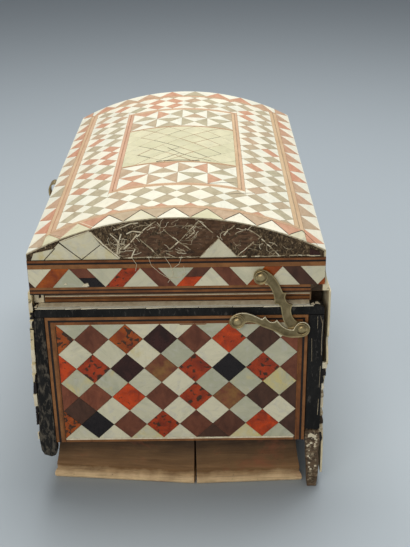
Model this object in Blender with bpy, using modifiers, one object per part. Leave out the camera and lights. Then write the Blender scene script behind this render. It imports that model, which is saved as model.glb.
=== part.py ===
# A domed wooden box with marquetry frames, a hinged lid, a brass elbow stay and a broken base.
#
# The box stands on z = 0 with its length along Y and its lid hinge along the +X side.
# Below, a place is (x, d, z): x from the middle of the lid, d from the near end face, z from the
# surface it stands on. The function place() turns that into the scene's own coordinates.
import math

import bmesh
import bpy
from mathutils import Matrix, Vector

mm = 0.001

# Overall sizes
LENGTH = 327.8 * mm
LID_HALF = 102.2 * mm
LID_BOTTOM = 168.3 * mm
FIT_GAP = 0.3 * mm

# Carcass: the plain wooden box inside
BASE_HEIGHT = 43.5 * mm
CARCASS_WALL = 10.0 * mm
CARCASS_FLOOR = 8.0 * mm
END_DEPTH = 9.0 * mm

# Framed panel at each end
NECK_HEIGHT = 10.8 * mm
RAIL_HEIGHT = 7.4 * mm
PANEL_RECESS = 1.0 * mm
STILE_WIDTH_LEFT = 7.1 * mm
STILE_WIDTH_RIGHT = 10.8 * mm
LEFT_STILE_DROP = 12.5 * mm
RIGHT_STILE_LOSS = 9.0 * mm
STILE_WEAR = 5.2 * mm
STILE_CHIP = 1.6 * mm
EBONY_BEVEL = 0.6 * mm

# Long sides: a board and its thin skin
LID_OVERHANG = 0.5 * mm
FRONT_BOARD = 7.4 * mm
FRONT_SKIN = 2.4 * mm
BACK_BOARD = 8.9 * mm
BACK_SKIN = 1.3 * mm
BACK_SKIN_BOTTOM = 12.0 * mm
BACK_BOARD_LOSS = 13.0 * mm
SKIN_SPREAD_LENGTH = 75.0 * mm
FRONT_SPREAD = 3.6 * mm
BACK_SPREAD = 2.0 * mm
SKIN_LOSS = 16.0 * mm

# Lid
LID_SIDE = 31.5 * mm
ARCH_RISE = 25.8 * mm
LID_WALL = 11.0 * mm
FACING = 1.2 * mm
TOP_VENEER = 1.2 * mm
BAND_HEIGHT = 25.9 * mm
FLARE = 3.9 * mm
FLARE_HEIGHT = 19.0 * mm
NEAR_OVERHANG = 0.6 * mm
CHIP_WIDTH = 9.5 * mm
CHIP_HEIGHT = 6.9 * mm
ARCH_STEPS = 44

# Base: coved boards, corner posts and a plain back apron
COVE_SETBACK = 11.0 * mm
COVE_PROJECTION = 8.2 * mm
COVE_BACK = 7.0 * mm
COVE_BEAD = 4.2 * mm
COVE_MITRE = 0.62
COVE_LOSS = 78.0 * mm
CRACK_X = 10.0 * mm
LEFT_HALF_TURN = math.radians(5.8)
RIGHT_HALF_TURN = math.radians(2.3)
NEAR_COVE_LEFT_REACH = 0.5 * mm
POST_GAP = 0.8 * mm
POST_DEPTH = 8.2 * mm
POST_PROUD = 0.6 * mm
POST_WEAR = 1.3 * mm
FOOT_SIZE = 12.0 * mm

# Hinges
KNUCKLE_RADIUS = 1.5 * mm
PIN_RADIUS = 0.6 * mm
PIN_CLEARANCE = 0.25 * mm
HINGE_WIDTH = 26.0 * mm
LEAF = 1.0 * mm
LEAF_HEIGHT = 15.0 * mm
HINGE_INSET = 72.0 * mm
ROUND_SIDES = 16

# Elbow stay on the near end. Each pivot is placed by its distance in from the lid's right side
# and its height over the lid's lower edge
STAY_LID_PIVOT_IN = 44.3 * mm
STAY_LID_PIVOT_UP = 12.8 * mm
STAY_BODY_PIVOT_IN = 60.7 * mm
STAY_BODY_PIVOT_UP = -20.5 * mm
STAY_ELBOW_IN = 15.4 * mm
STAY_ELBOW_UP = -27.2 * mm
ARM_THICKNESS = 1.6 * mm
STAY_STANDOFF = 1.2 * mm
EYE_HOLE = 1.6 * mm
SHANK = 1.2 * mm
HEAD_RADIUS = 2.7 * mm
HEAD_HEIGHT = 0.9 * mm
COLLAR_RADIUS = 2.0 * mm

# Brass catch on the front of the lid
CATCH_FROM_NEAR = 150.8 * mm
CATCH_WIDTH = 9.0 * mm
CATCH_STRIP = 1.2 * mm
CATCH_DROP = 3.0 * mm
CATCH_HEIGHT = 16.0 * mm

# What follows from those sizes
SPRING_Z = LID_BOTTOM + LID_SIDE
ARCH_RADIUS = (LID_HALF**2 + ARCH_RISE**2) / (2 * ARCH_RISE)
ARCH_CENTRE_Z = SPRING_Z + ARCH_RISE - ARCH_RADIUS
BAND_TOP = LID_BOTTOM + BAND_HEIGHT
BODY_TOP = LID_BOTTOM - FIT_GAP
LEDGE_Z = LID_BOTTOM - NECK_HEIGHT
RAIL_BOTTOM = LEDGE_Z - RAIL_HEIGHT
FRONT_BOARD_OUT = LID_HALF - LID_OVERHANG
FRONT_SKIN_OUT = FRONT_BOARD_OUT + FIT_GAP + FRONT_SKIN
CARCASS_HALF = FRONT_BOARD_OUT - FRONT_BOARD - FIT_GAP
BACK_BOARD_OUT = CARCASS_HALF + FIT_GAP + BACK_BOARD
BACK_SKIN_OUT = BACK_BOARD_OUT + FIT_GAP + BACK_SKIN
FRAME_LEFT = FRONT_BOARD_OUT - FIT_GAP
FRAME_RIGHT = BACK_BOARD_OUT - FIT_GAP
STILE_INNER_LEFT = FRAME_LEFT - STILE_WIDTH_LEFT
STILE_INNER_RIGHT = FRAME_RIGHT - STILE_WIDTH_RIGHT
LEFT_STILE_END_Z = BASE_HEIGHT - LEFT_STILE_DROP
RIGHT_STILE_END_Z = BASE_HEIGHT + RIGHT_STILE_LOSS
FRAME_BACK = END_DEPTH - FIT_GAP
FLARE_OUT = LID_HALF + FLARE
HINGE_X = max(FLARE_OUT, BACK_SKIN_OUT + LEAF) + 2 * FIT_GAP + KNUCKLE_RADIUS
HINGE_Z = LID_BOTTOM - FIT_GAP / 2
STAY_LID_PIVOT = (LID_HALF - STAY_LID_PIVOT_IN, LID_BOTTOM + STAY_LID_PIVOT_UP)
STAY_BODY_PIVOT = (LID_HALF - STAY_BODY_PIVOT_IN, LID_BOTTOM + STAY_BODY_PIVOT_UP)
STAY_ELBOW = (LID_HALF - STAY_ELBOW_IN, LID_BOTTOM + STAY_ELBOW_UP)
UPPER_ARM_D = -STAY_STANDOFF - ARM_THICKNESS
LOWER_ARM_D = UPPER_ARM_D - FIT_GAP - ARM_THICKNESS
STAY_PROUD = -LOWER_ARM_D + FIT_GAP + HEAD_HEIGHT
RIGHT_REACH = HINGE_X + KNUCKLE_RADIUS
MID_D = (LENGTH - STAY_PROUD) / 2


def place(x, d, z):
    """Box coordinates to scene coordinates."""
    return Vector((x, d - MID_D, z))


# Collections, materials and small helpers
def new_collection(name):
    collection = bpy.data.collections.new(name)
    bpy.context.scene.collection.children.link(collection)
    return collection


FINISHES = {
    "old_pine": ((0.34, 0.22, 0.12), 0.75, 0.0),
    "bare_board": ((0.46, 0.33, 0.19), 0.7, 0.0),
    "dark_ground": ((0.11, 0.065, 0.04), 0.8, 0.0),
    "ebony": ((0.022, 0.021, 0.022), 0.5, 0.0),
    "marquetry": ((0.45, 0.30, 0.22), 0.4, 0.0),
    "pearl": ((0.76, 0.73, 0.63), 0.35, 0.0),
    "bone_edge": ((0.72, 0.60, 0.38), 0.6, 0.0),
    "brass": ((0.36, 0.31, 0.17), 0.45, 1.0),
}


def new_material(name, finish):
    colour, roughness, metallic = FINISHES[finish]
    material = bpy.data.materials.new(name)
    material.use_nodes = True
    shader = material.node_tree.nodes["Principled BSDF"]
    shader.inputs["Base Color"].default_value = (*colour, 1.0)
    shader.inputs["Roughness"].default_value = roughness
    shader.inputs["Metallic"].default_value = metallic
    return material


def move_to(obj, collection):
    for old in list(obj.users_collection):
        old.objects.unlink(obj)
    collection.objects.link(obj)


def finish_object(obj, name, finish, collection):
    obj.name = name
    obj.data.name = name
    obj.data.materials.clear()
    obj.data.materials.append(new_material(name, finish))
    move_to(obj, collection)
    return obj


def add_bevel(obj, width, segments=2):
    bevel = obj.modifiers.new("Bevel", "BEVEL")
    bevel.width = width
    bevel.segments = segments
    bevel.limit_method = "ANGLE"
    return obj


def add_boolean(obj, other, operation, cutters):
    other.hide_render = True
    other.display_type = "WIRE"
    move_to(other, cutters)
    boolean = obj.modifiers.new("Boolean", "BOOLEAN")
    boolean.operation = operation
    boolean.solver = "EXACT"
    boolean.object = other
    return obj


def raw_box(low, high):
    """A cube primitive stretched between two corners given as (x, d, z)."""
    start = place(*low)
    end = place(*high)
    bpy.ops.mesh.primitive_cube_add(size=1.0, location=(start + end) / 2)
    obj = bpy.context.object
    obj.scale = end - start
    bpy.ops.object.transform_apply(location=False, rotation=False, scale=True)
    return obj


def turn_outwards(bm):
    """Make a closed body's faces point out."""
    if bm.calc_volume(signed=True) < 0:
        bmesh.ops.reverse_faces(bm, faces=bm.faces)


def curve_mesh(splines, half_extrude, matrix, resolution=4):
    """A filled 2D outline with holes, extruded and turned into a welded mesh object.

    Each spline is a list of (u, v, kind) with kind "smooth" or "corner"."""
    curve = bpy.data.curves.new("outline", "CURVE")
    curve.dimensions = "2D"
    curve.fill_mode = "BOTH"
    curve.extrude = half_extrude
    curve.resolution_u = resolution
    for points in splines:
        spline = curve.splines.new("BEZIER")
        spline.bezier_points.add(len(points) - 1)
        spline.use_cyclic_u = True
        for knot, (u, v, kind) in zip(spline.bezier_points, points):
            knot.co = (u, v, 0.0)
            handle = "AUTO" if kind == "smooth" else "VECTOR"
            knot.handle_left_type = handle
            knot.handle_right_type = handle
    source = bpy.data.objects.new("outline", curve)
    bpy.context.scene.collection.objects.link(source)
    source.matrix_world = matrix
    bpy.context.view_layer.update()
    evaluated = source.evaluated_get(bpy.context.evaluated_depsgraph_get())
    mesh = bpy.data.meshes.new_from_object(evaluated)
    bm = bmesh.new()
    bm.from_mesh(mesh)
    bmesh.ops.remove_doubles(bm, verts=bm.verts, dist=0.00001)
    turn_outwards(bm)
    bm.to_mesh(mesh)
    bm.free()
    obj = bpy.data.objects.new("outline", mesh)
    bpy.context.scene.collection.objects.link(obj)
    obj.matrix_world = matrix
    bpy.data.objects.remove(source)
    return obj


def circle_points(centre, radius, count=12):
    points = []
    for index in range(count):
        angle = 2 * math.pi * index / count
        u = centre[0] + radius * math.cos(angle)
        v = centre[1] + radius * math.sin(angle)
        points.append((u, v, "smooth"))
    return points


def plate(splines, near, far, pivot=(0.0, 0.0), resolution=4):
    """Upright plates that face the near end: outlines in (x, z) about a pivot, from near to far."""
    middle = (near + far) / 2
    spot = place(pivot[0], middle, pivot[1])
    matrix = Matrix.Translation(spot) @ Matrix.Rotation(math.radians(90), 4, "X")
    return curve_mesh(splines, (far - near) / 2, matrix, resolution)


def corners(points):
    return [(u, v, "corner") for u, v in points]


def turned(profile, pivot, depth):
    """A turned piece: (radius, height) from its outer tip inwards, pointing at the near end."""
    mesh = bpy.data.meshes.new("turned")
    bm = bmesh.new()
    verts = [bm.verts.new((radius, 0.0, height)) for radius, height in profile]
    for first, second in zip(verts, verts[1:]):
        bm.edges.new((first, second))
    bm.to_mesh(mesh)
    bm.free()
    obj = bpy.data.objects.new("turned", mesh)
    bpy.context.scene.collection.objects.link(obj)
    obj.location = place(pivot[0], depth, pivot[1])
    obj.rotation_euler = (math.radians(90), 0.0, 0.0)
    screw = obj.modifiers.new("Screw", "SCREW")
    screw.steps = ROUND_SIDES
    screw.render_steps = ROUND_SIDES
    screw.use_merge_vertices = True
    screw.merge_threshold = 0.00001
    return obj


def arch_z(x, radius):
    return ARCH_CENTRE_Z + math.sqrt(radius**2 - x**2)


def arch_outline(half, radius, bottom):
    """A vault's end outline: straight sides up to the arc of the given radius."""
    points = [(-half, bottom), (half, bottom)]
    for step in range(ARCH_STEPS + 1):
        x = half - 2 * half * step / ARCH_STEPS
        points.append((x, arch_z(x, radius)))
    return corners(points)


def along(points, value):
    """Straight-line reading of a list of (value, result) pairs in rising order."""
    for (low, first), (high, second) in zip(points, points[1:]):
        if value <= high:
            share = max(0.0, (value - low) / (high - low))
            return first + (second - first) * share
    return points[-1][1]


def ease(share):
    share = min(1.0, max(0.0, share))
    return share * share * (3 - 2 * share)


# Body
def build_carcass(main, cutters):
    far = LENGTH - END_DEPTH
    carcass = raw_box((-CARCASS_HALF, END_DEPTH, BASE_HEIGHT), (CARCASS_HALF, far, BODY_TOP))
    inner = CARCASS_HALF - CARCASS_WALL
    floor = BASE_HEIGHT + CARCASS_FLOOR
    low = (-inner, END_DEPTH + CARCASS_WALL, floor)
    hollow = raw_box(low, (inner, far - CARCASS_WALL, LID_BOTTOM + CARCASS_WALL))
    hollow.name = "carcass_hollow"
    add_boolean(carcass, hollow, "DIFFERENCE", cutters)
    finish_object(carcass, "carcass", "old_pine", main)


def build_near_end(main):
    low = (-(STILE_INNER_LEFT - FIT_GAP), PANEL_RECESS, BASE_HEIGHT)
    high = (STILE_INNER_RIGHT - FIT_GAP, FRAME_BACK, RAIL_BOTTOM - FIT_GAP)
    panel = raw_box(low, high)
    finish_object(panel, "end_panel_near", "marquetry", main)

    worn = RAIL_HEIGHT / 2
    rail = plate([corners([
        (-FRAME_LEFT + worn * 0.3, RAIL_BOTTOM),
        (FRAME_RIGHT, RAIL_BOTTOM),
        (FRAME_RIGHT, LEDGE_Z - worn * 0.45),
        (FRAME_RIGHT - worn, LEDGE_Z),
        (-FRAME_LEFT + worn * 1.5, LEDGE_Z),
        (-FRAME_LEFT + worn * 0.5, LEDGE_Z - worn * 0.4),
        (-FRAME_LEFT, LEDGE_Z - worn * 1.2),
    ])], 0.0, FRAME_BACK)
    finish_object(add_bevel(rail, EBONY_BEVEL), "ebony_rail_near", "ebony", main)

    top = RAIL_BOTTOM - FIT_GAP
    drop = top - LEFT_STILE_END_Z
    inner = STILE_INNER_LEFT
    outer = FRAME_LEFT
    width = STILE_WIDTH_LEFT
    worn_edge = [(0.0, 0.0), (0.17, 0.15), (0.28, 0.23), (0.42, 0.4), (0.55, 0.56), (0.66, 0.71),
                 (0.76, 0.85), (0.88, 1.0), (0.95, 0.87), (0.985, 0.5)]
    outline = [(-inner, top)]
    outline += [(-outer - spread * STILE_WEAR, top - share * drop) for share, spread in worn_edge]
    outline += [(-inner - width * 0.65, top - drop), (-inner - width * 0.2, top - drop * 0.99),
                (-inner, top - drop * 0.97)]
    stile = plate([corners(outline)], 0.0, FRAME_BACK)
    finish_object(add_bevel(stile, EBONY_BEVEL), "ebony_stile_near_left", "ebony", main)

    end = RIGHT_STILE_END_Z
    broken_end = [(0.0, 1.0), (0.25, 0.25), (0.45, 0.75), (0.7, 0.0), (1.0, 0.56)]
    width = STILE_WIDTH_RIGHT
    outline = [(STILE_INNER_RIGHT + width * share, end + rise * STILE_CHIP) for share, rise in broken_end]
    outline += [(FRAME_RIGHT, top), (STILE_INNER_RIGHT, top)]
    stile = plate([corners(outline)], 0.0, FRAME_BACK)
    finish_object(add_bevel(stile, EBONY_BEVEL), "ebony_stile_near_right", "ebony", main)


def build_far_end(main):
    near = LENGTH - FRAME_BACK
    low_rail = BASE_HEIGHT + RAIL_HEIGHT
    left_in = FRONT_BOARD_OUT - RAIL_HEIGHT
    right_in = BACK_BOARD_OUT - RAIL_HEIGHT
    top = RAIL_BOTTOM - FIT_GAP
    panel = raw_box((-left_in + FIT_GAP, near, low_rail + FIT_GAP),
                    (right_in - FIT_GAP, LENGTH - PANEL_RECESS, top))
    finish_object(panel, "end_panel_far", "marquetry", main)
    pieces = {
        "ebony_rail_far_top": ((-FRONT_BOARD_OUT, near, RAIL_BOTTOM), (BACK_BOARD_OUT, LENGTH, LEDGE_Z)),
        "ebony_rail_far_bottom": ((-FRONT_BOARD_OUT, near, BASE_HEIGHT), (BACK_BOARD_OUT, LENGTH, low_rail)),
        "ebony_stile_far_left": ((-FRONT_BOARD_OUT, near, low_rail + FIT_GAP), (-left_in, LENGTH, top)),
        "ebony_stile_far_right": ((right_in, near, low_rail + FIT_GAP), (BACK_BOARD_OUT, LENGTH, top)),
    }
    for name, (low, high) in pieces.items():
        finish_object(add_bevel(raw_box(low, high), EBONY_BEVEL), name, "ebony", main)


# Near edge of each side's skin: (share of the body's height, share of SKIN_LOSS that is broken away)
FRONT_SKIN_EDGE = [(0.0, 0.88), (0.29, 0.81), (0.39, 0.69), (0.435, 0.59), (0.465, 0.25), (0.5, 0.11),
                   (0.55, 0.21), (0.61, 0.09), (0.7, 0.14), (0.75, 0.06), (0.83, 0.08), (0.845, 0.23),
                   (0.89, 0.08), (0.96, 0.15), (1.0, 0.22)]
BACK_SKIN_EDGE = [(0.0, 0.25), (0.08, 0.13), (0.18, 0.08), (0.27, 0.16), (0.32, 0.44), (0.36, 1.0),
                  (0.48, 0.88), (0.52, 0.5), (0.56, 0.31), (0.59, 0.16), (0.62, 0.41), (0.65, 0.1),
                  (0.7, 0.14), (0.74, 0.44), (0.77, 0.31), (0.79, 0.06), (1.0, 0.04)]
# How much of its spread each skin has: (share of the body's height, share of the spread)
FRONT_LEAN = [(0.0, 1.0), (0.45, 1.0), (0.6, 0.72), (0.76, 0.36), (0.845, 0.16), (0.89, 0.0), (1.0, 0.0)]
BACK_LEAN = [(0.0, 0.9), (0.3, 0.7), (0.57, 0.4), (0.64, 1.3), (0.77, 1.1), (1.0, 1.0)]


def skin_sheet(edge, sign, outside, bottom, thickness, spread, spread_at):
    """A thin upright sheet along a long side, its near edge broken and sprung outwards."""
    rows = 44
    columns = 8
    bm = bmesh.new()
    bmesh.ops.create_grid(bm, x_segments=columns, y_segments=rows, size=1.0)
    for vert in bm.verts:
        share_d = ((vert.co.x + 1) / 2) ** 1.7
        z = bottom + (vert.co.y + 1) / 2 * (BODY_TOP - bottom)
        height = z / BODY_TOP
        start = along(edge, height) * SKIN_LOSS
        d = start + share_d * (LENGTH - start)
        lift = spread * along(spread_at, height) * ease(1 - d / SKIN_SPREAD_LENGTH)
        vert.co = place(sign * (outside + lift), d, z)
    bmesh.ops.recalc_face_normals(bm, faces=bm.faces)
    if sum(face.normal.x for face in bm.faces) * sign < 0:
        bmesh.ops.reverse_faces(bm, faces=bm.faces)
    mesh = bpy.data.meshes.new("skin")
    bm.to_mesh(mesh)
    bm.free()
    obj = bpy.data.objects.new("skin", mesh)
    bpy.context.scene.collection.objects.link(obj)
    solidify = obj.modifiers.new("Solidify", "SOLIDIFY")
    solidify.thickness = thickness
    solidify.offset = -1.0
    return obj


def build_sides(main):
    far = LENGTH - END_DEPTH - FIT_GAP
    near = END_DEPTH + FIT_GAP
    inner = CARCASS_HALF + FIT_GAP
    front = raw_box((-FRONT_BOARD_OUT, near, BASE_HEIGHT), (-inner, far, BODY_TOP))
    finish_object(front, "front_board", "old_pine", main)
    back = raw_box((inner, near + BACK_BOARD_LOSS, BASE_HEIGHT), (BACK_BOARD_OUT, far, BODY_TOP))
    finish_object(back, "back_board", "dark_ground", main)

    skin = skin_sheet(FRONT_SKIN_EDGE, -1, FRONT_SKIN_OUT, BASE_HEIGHT, FRONT_SKIN, FRONT_SPREAD, FRONT_LEAN)
    finish_object(skin, "front_skin", "bone_edge", main)
    skin = skin_sheet(BACK_SKIN_EDGE, 1, BACK_SKIN_OUT, BACK_SKIN_BOTTOM, BACK_SKIN, BACK_SPREAD, BACK_LEAN)
    finish_object(skin, "back_skin", "bone_edge", main)


# Base
def cove_profile():
    """Section of a base board as (out, up): flat back, hollow front, rounded foot."""
    top = BASE_HEIGHT - FIT_GAP
    reach = COVE_PROJECTION
    points = [(-COVE_BACK, 0.0), (reach * 0.62, 0.0)]
    bead = COVE_BEAD
    for step in range(6):
        angle = math.radians(-75 + 30 * step)
        points.append((reach - bead * (1 - math.cos(angle)), bead * (1 + math.sin(angle))))
    steps = 9
    for step in range(1, steps + 1):
        share = step / steps
        height = 2 * bead + share * (top - 2 * bead)
        points.append((reach * 0.82 * (1 - share) ** 1.9, height))
    points.append((-COVE_BACK, top))
    return corners(points)


def cove_board(origin, run, out, length, mitre_start, mitre_end):
    """A base board from origin along run, its hollow facing out, its ends cut by a share of out."""
    flat = Matrix.Identity(4)
    obj = curve_mesh([cove_profile()], length / 2, flat)
    bm = bmesh.new()
    bm.from_mesh(obj.data)
    for vert in bm.verts:
        reach, height, step = vert.co
        mitre = mitre_end if step > 0 else -mitre_start
        position = step + length / 2 + mitre * reach
        vert.co = origin + out * reach + run * position + Vector((0.0, 0.0, height))
    turn_outwards(bm)
    bm.to_mesh(obj.data)
    bm.free()
    return obj


def build_base(main):
    x_axis = Vector((1.0, 0.0, 0.0))
    y_axis = Vector((0.0, 1.0, 0.0))

    def near_half(name, side, turn, end_x):
        """One half of the cracked near board, swung back about the crack's back edge."""
        pivot = place(CRACK_X + side * FIT_GAP / 2, COVE_SETBACK + COVE_BACK, 0.0)
        run = Vector((side * math.cos(turn), math.sin(turn), 0.0))
        out = Vector((side * math.sin(turn), -math.cos(turn), 0.0))
        board = cove_board(pivot + out * COVE_BACK, run, out, end_x - side * CRACK_X, 0.0, COVE_MITRE)
        return finish_object(board, name, "bare_board", main)

    mitre_reach = COVE_MITRE * COVE_PROJECTION
    near_half("base_board_near_left", -1, LEFT_HALF_TURN, CARCASS_HALF + NEAR_COVE_LEFT_REACH)
    near_half("base_board_near_right", 1, RIGHT_HALF_TURN, STILE_INNER_RIGHT - POST_GAP - mitre_reach)

    outer = BACK_BOARD_OUT + POST_PROUD
    width = outer - STILE_INNER_RIGHT
    top = RIGHT_STILE_END_Z - FIT_GAP
    ragged = [(0.0, 0.28), (0.15, 0.24), (0.33, 0.21), (0.5, 0.13), (0.65, 0.12), (0.8, 0.05), (0.98, 0.02)]
    outline = [(STILE_INNER_RIGHT + width * share, top * rise) for rise, share in ragged]
    outline += [(outer - width * 0.58, top), (outer - width * 0.28, top - POST_WEAR * 0.9),
                (outer - POST_WEAR * 0.6, top - POST_WEAR * 0.3), (outer, top * 0.8),
                (outer - POST_WEAR * 0.7, top * 0.62), (outer, top * 0.45),
                (outer - POST_WEAR * 0.3, top * 0.22), (outer - POST_WEAR, 0.0)]
    post = plate([corners(outline)], FIT_GAP, FIT_GAP + POST_DEPTH)
    finish_object(add_bevel(post, EBONY_BEVEL, 1), "corner_post_near_right", "dark_ground", main)

    board_top = BASE_HEIGHT - FIT_GAP
    near = LENGTH - FOOT_SIZE
    left = FRONT_BOARD_OUT
    foot = raw_box((-left, near, 0.0), (-left + FOOT_SIZE, LENGTH, board_top))
    finish_object(add_bevel(foot, EBONY_BEVEL), "foot_far_left", "dark_ground", main)
    foot = raw_box((BACK_BOARD_OUT - FOOT_SIZE, near, 0.0), (BACK_BOARD_OUT, LENGTH, board_top))
    finish_object(add_bevel(foot, EBONY_BEVEL), "foot_far_right", "dark_ground", main)

    clear = FOOT_SIZE + FIT_GAP
    far_front = LENGTH - COVE_SETBACK
    start = place(-left + clear, far_front, 0.0)
    board = cove_board(start, x_axis, y_axis, left + BACK_BOARD_OUT - 2 * clear, 0.0, 0.0)
    finish_object(board, "base_board_far", "bare_board", main)

    side_end = LENGTH - COVE_SETBACK - COVE_BACK - FIT_GAP
    start = place(-FRONT_SKIN_OUT + COVE_SETBACK, COVE_LOSS, 0.0)
    board = cove_board(start, y_axis, -x_axis, side_end - COVE_LOSS, 0.0, 0.0)
    finish_object(board, "base_board_front", "bare_board", main)

    apron = raw_box((CARCASS_HALF + FIT_GAP, COVE_LOSS, 0.0), (BACK_BOARD_OUT, near - FIT_GAP, board_top))
    finish_object(apron, "back_apron", "old_pine", main)


# Lid
SHELL_HALF = LID_HALF - FACING - FIT_GAP
SHELL_RADIUS = ARCH_RADIUS - TOP_VENEER - FIT_GAP


def build_lid_shell(main, cutters):
    near = FACING + FIT_GAP
    shell = plate([arch_outline(SHELL_HALF, SHELL_RADIUS, LID_BOTTOM)], near, LENGTH - near)
    inner_half = SHELL_HALF - LID_WALL
    inner = arch_outline(inner_half, SHELL_RADIUS - LID_WALL, LID_BOTTOM - LID_WALL)
    hollow = plate([inner], near + LID_WALL, LENGTH - near - LID_WALL)
    hollow.name = "lid_hollow"
    add_boolean(shell, hollow, "DIFFERENCE", cutters)
    finish_object(shell, "lid_shell", "dark_ground", main)
    return shell


def build_top_veneer(main):
    """The arched sheet over the lid, with a worn and slightly proud near edge."""
    rows = 3
    half_angle = math.asin(LID_HALF / ARCH_RADIUS)
    bm = bmesh.new()
    bmesh.ops.create_grid(bm, x_segments=ARCH_STEPS, y_segments=rows, size=1.0)
    for vert in bm.verts:
        share = (vert.co.y + 1) / 2
        angle = vert.co.x * half_angle
        wear = 0.5 * math.sin(19 * angle) + 0.35 * math.sin(47 * angle + 1.3)
        start = NEAR_OVERHANG * (wear - 0.4)
        d = start + share * (LENGTH - start)
        z = ARCH_CENTRE_Z + ARCH_RADIUS * math.cos(angle)
        vert.co = place(ARCH_RADIUS * math.sin(angle), d, z)
    bmesh.ops.recalc_face_normals(bm, faces=bm.faces)
    if sum(face.normal.z for face in bm.faces) < 0:
        bmesh.ops.reverse_faces(bm, faces=bm.faces)
    mesh = bpy.data.meshes.new("veneer")
    bm.to_mesh(mesh)
    bm.free()
    obj = bpy.data.objects.new("veneer", mesh)
    bpy.context.scene.collection.objects.link(obj)
    solidify = obj.modifiers.new("Solidify", "SOLIDIFY")
    solidify.thickness = TOP_VENEER
    solidify.offset = -1.0
    obj.data.shade_smooth()
    return finish_object(obj, "lid_top_veneer", "pearl", main)


def build_lid_facings(main):
    broken_corner = [(1.0, 0.0), (0.93, 0.4), (0.62, 0.56), (0.36, 1.0), (0.0, 1.0)]
    outline = []
    for share, rise in broken_corner:
        outline.append((LID_HALF - CHIP_WIDTH * share, LID_BOTTOM + CHIP_HEIGHT * rise))
    outline += [(LID_HALF, BAND_TOP), (-LID_HALF, BAND_TOP), (-LID_HALF, LID_BOTTOM)]
    pieces = [finish_object(plate([corners(outline)], 0.0, FACING), "lid_band_near", "marquetry", main)]

    side_near = FACING + FIT_GAP
    side_far = LENGTH - side_near
    side_top = arch_z(LID_HALF, ARCH_RADIUS - TOP_VENEER) - FIT_GAP
    band = raw_box((-LID_HALF, side_near, LID_BOTTOM), (-LID_HALF + FACING, side_far, side_top))
    pieces.append(finish_object(band, "lid_band_front", "marquetry", main))

    inner = LID_HALF - FACING
    outline = [(inner, LID_BOTTOM), (FLARE_OUT, LID_BOTTOM)]
    for step in range(1, 6):
        share = step / 5
        outline.append((LID_HALF + FLARE * (1 - share) ** 1.5, LID_BOTTOM + share * FLARE_HEIGHT))
    outline += [(LID_HALF, side_top), (inner, side_top)]
    band = plate([corners(outline)], side_near, side_far)
    pieces.append(finish_object(band, "lid_band_back", "bone_edge", main))

    outline = arch_outline(LID_HALF, SHELL_RADIUS, LID_BOTTOM)
    facing = plate([outline], LENGTH - FACING, LENGTH)
    pieces.append(finish_object(facing, "lid_facing_far", "marquetry", main))
    return pieces


# Brass hinges on the back
def knuckle(near, far, radius):
    bpy.ops.mesh.primitive_cylinder_add(vertices=ROUND_SIDES, radius=radius, depth=far - near,
                                        location=place(HINGE_X, (near + far) / 2, HINGE_Z),
                                        rotation=(math.radians(90), 0.0, 0.0))
    return bpy.context.object


def build_hinge(main, cutters, label, middle):
    start = middle - HINGE_WIDTH / 2
    end = middle + HINGE_WIDTH / 2
    third = HINGE_WIDTH / 3

    face = BACK_SKIN_OUT + FIT_GAP
    top = HINGE_Z - KNUCKLE_RADIUS / 2
    leaf = raw_box((face, start, top - LEAF_HEIGHT), (face + LEAF, end, top))
    for low, high in ((start, start + third), (end - third, end)):
        web = raw_box((face, low, top - LEAF), (HINGE_X, high, top))
        add_boolean(leaf, web, "UNION", cutters)
        add_boolean(leaf, knuckle(low, high, KNUCKLE_RADIUS), "UNION", cutters)
    add_boolean(leaf, knuckle(start + LEAF, end - LEAF, PIN_RADIUS), "UNION", cutters)
    finish_object(leaf, "hinge_leaf_body_" + label, "brass", main)

    low = start + third + FIT_GAP
    high = end - third - FIT_GAP
    foot_x = FLARE_OUT + FIT_GAP
    foot_z = HINGE_Z + KNUCKLE_RADIUS + FIT_GAP
    lean = math.atan2(FLARE * 0.9, FLARE_HEIGHT * 0.75)
    lid_leaf = raw_box((foot_x, start, foot_z), (foot_x + LEAF, end, foot_z + LEAF_HEIGHT))
    pivot = place(foot_x, 0.0, foot_z)
    turn = Matrix.Translation(pivot) @ Matrix.Rotation(-lean, 4, "Y") @ Matrix.Translation(-pivot)
    lid_leaf.matrix_world = turn @ lid_leaf.matrix_world
    web = raw_box((foot_x + LEAF * 0.2, low, HINGE_Z), (foot_x + LEAF * 0.9, high, foot_z + LEAF))
    add_boolean(lid_leaf, web, "UNION", cutters)
    add_boolean(lid_leaf, knuckle(low, high, KNUCKLE_RADIUS), "UNION", cutters)
    bore = knuckle(low - LEAF, high + LEAF, PIN_RADIUS + PIN_CLEARANCE)
    add_boolean(lid_leaf, bore, "DIFFERENCE", cutters)
    return finish_object(lid_leaf, "hinge_leaf_lid_" + label, "brass", main)


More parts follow.
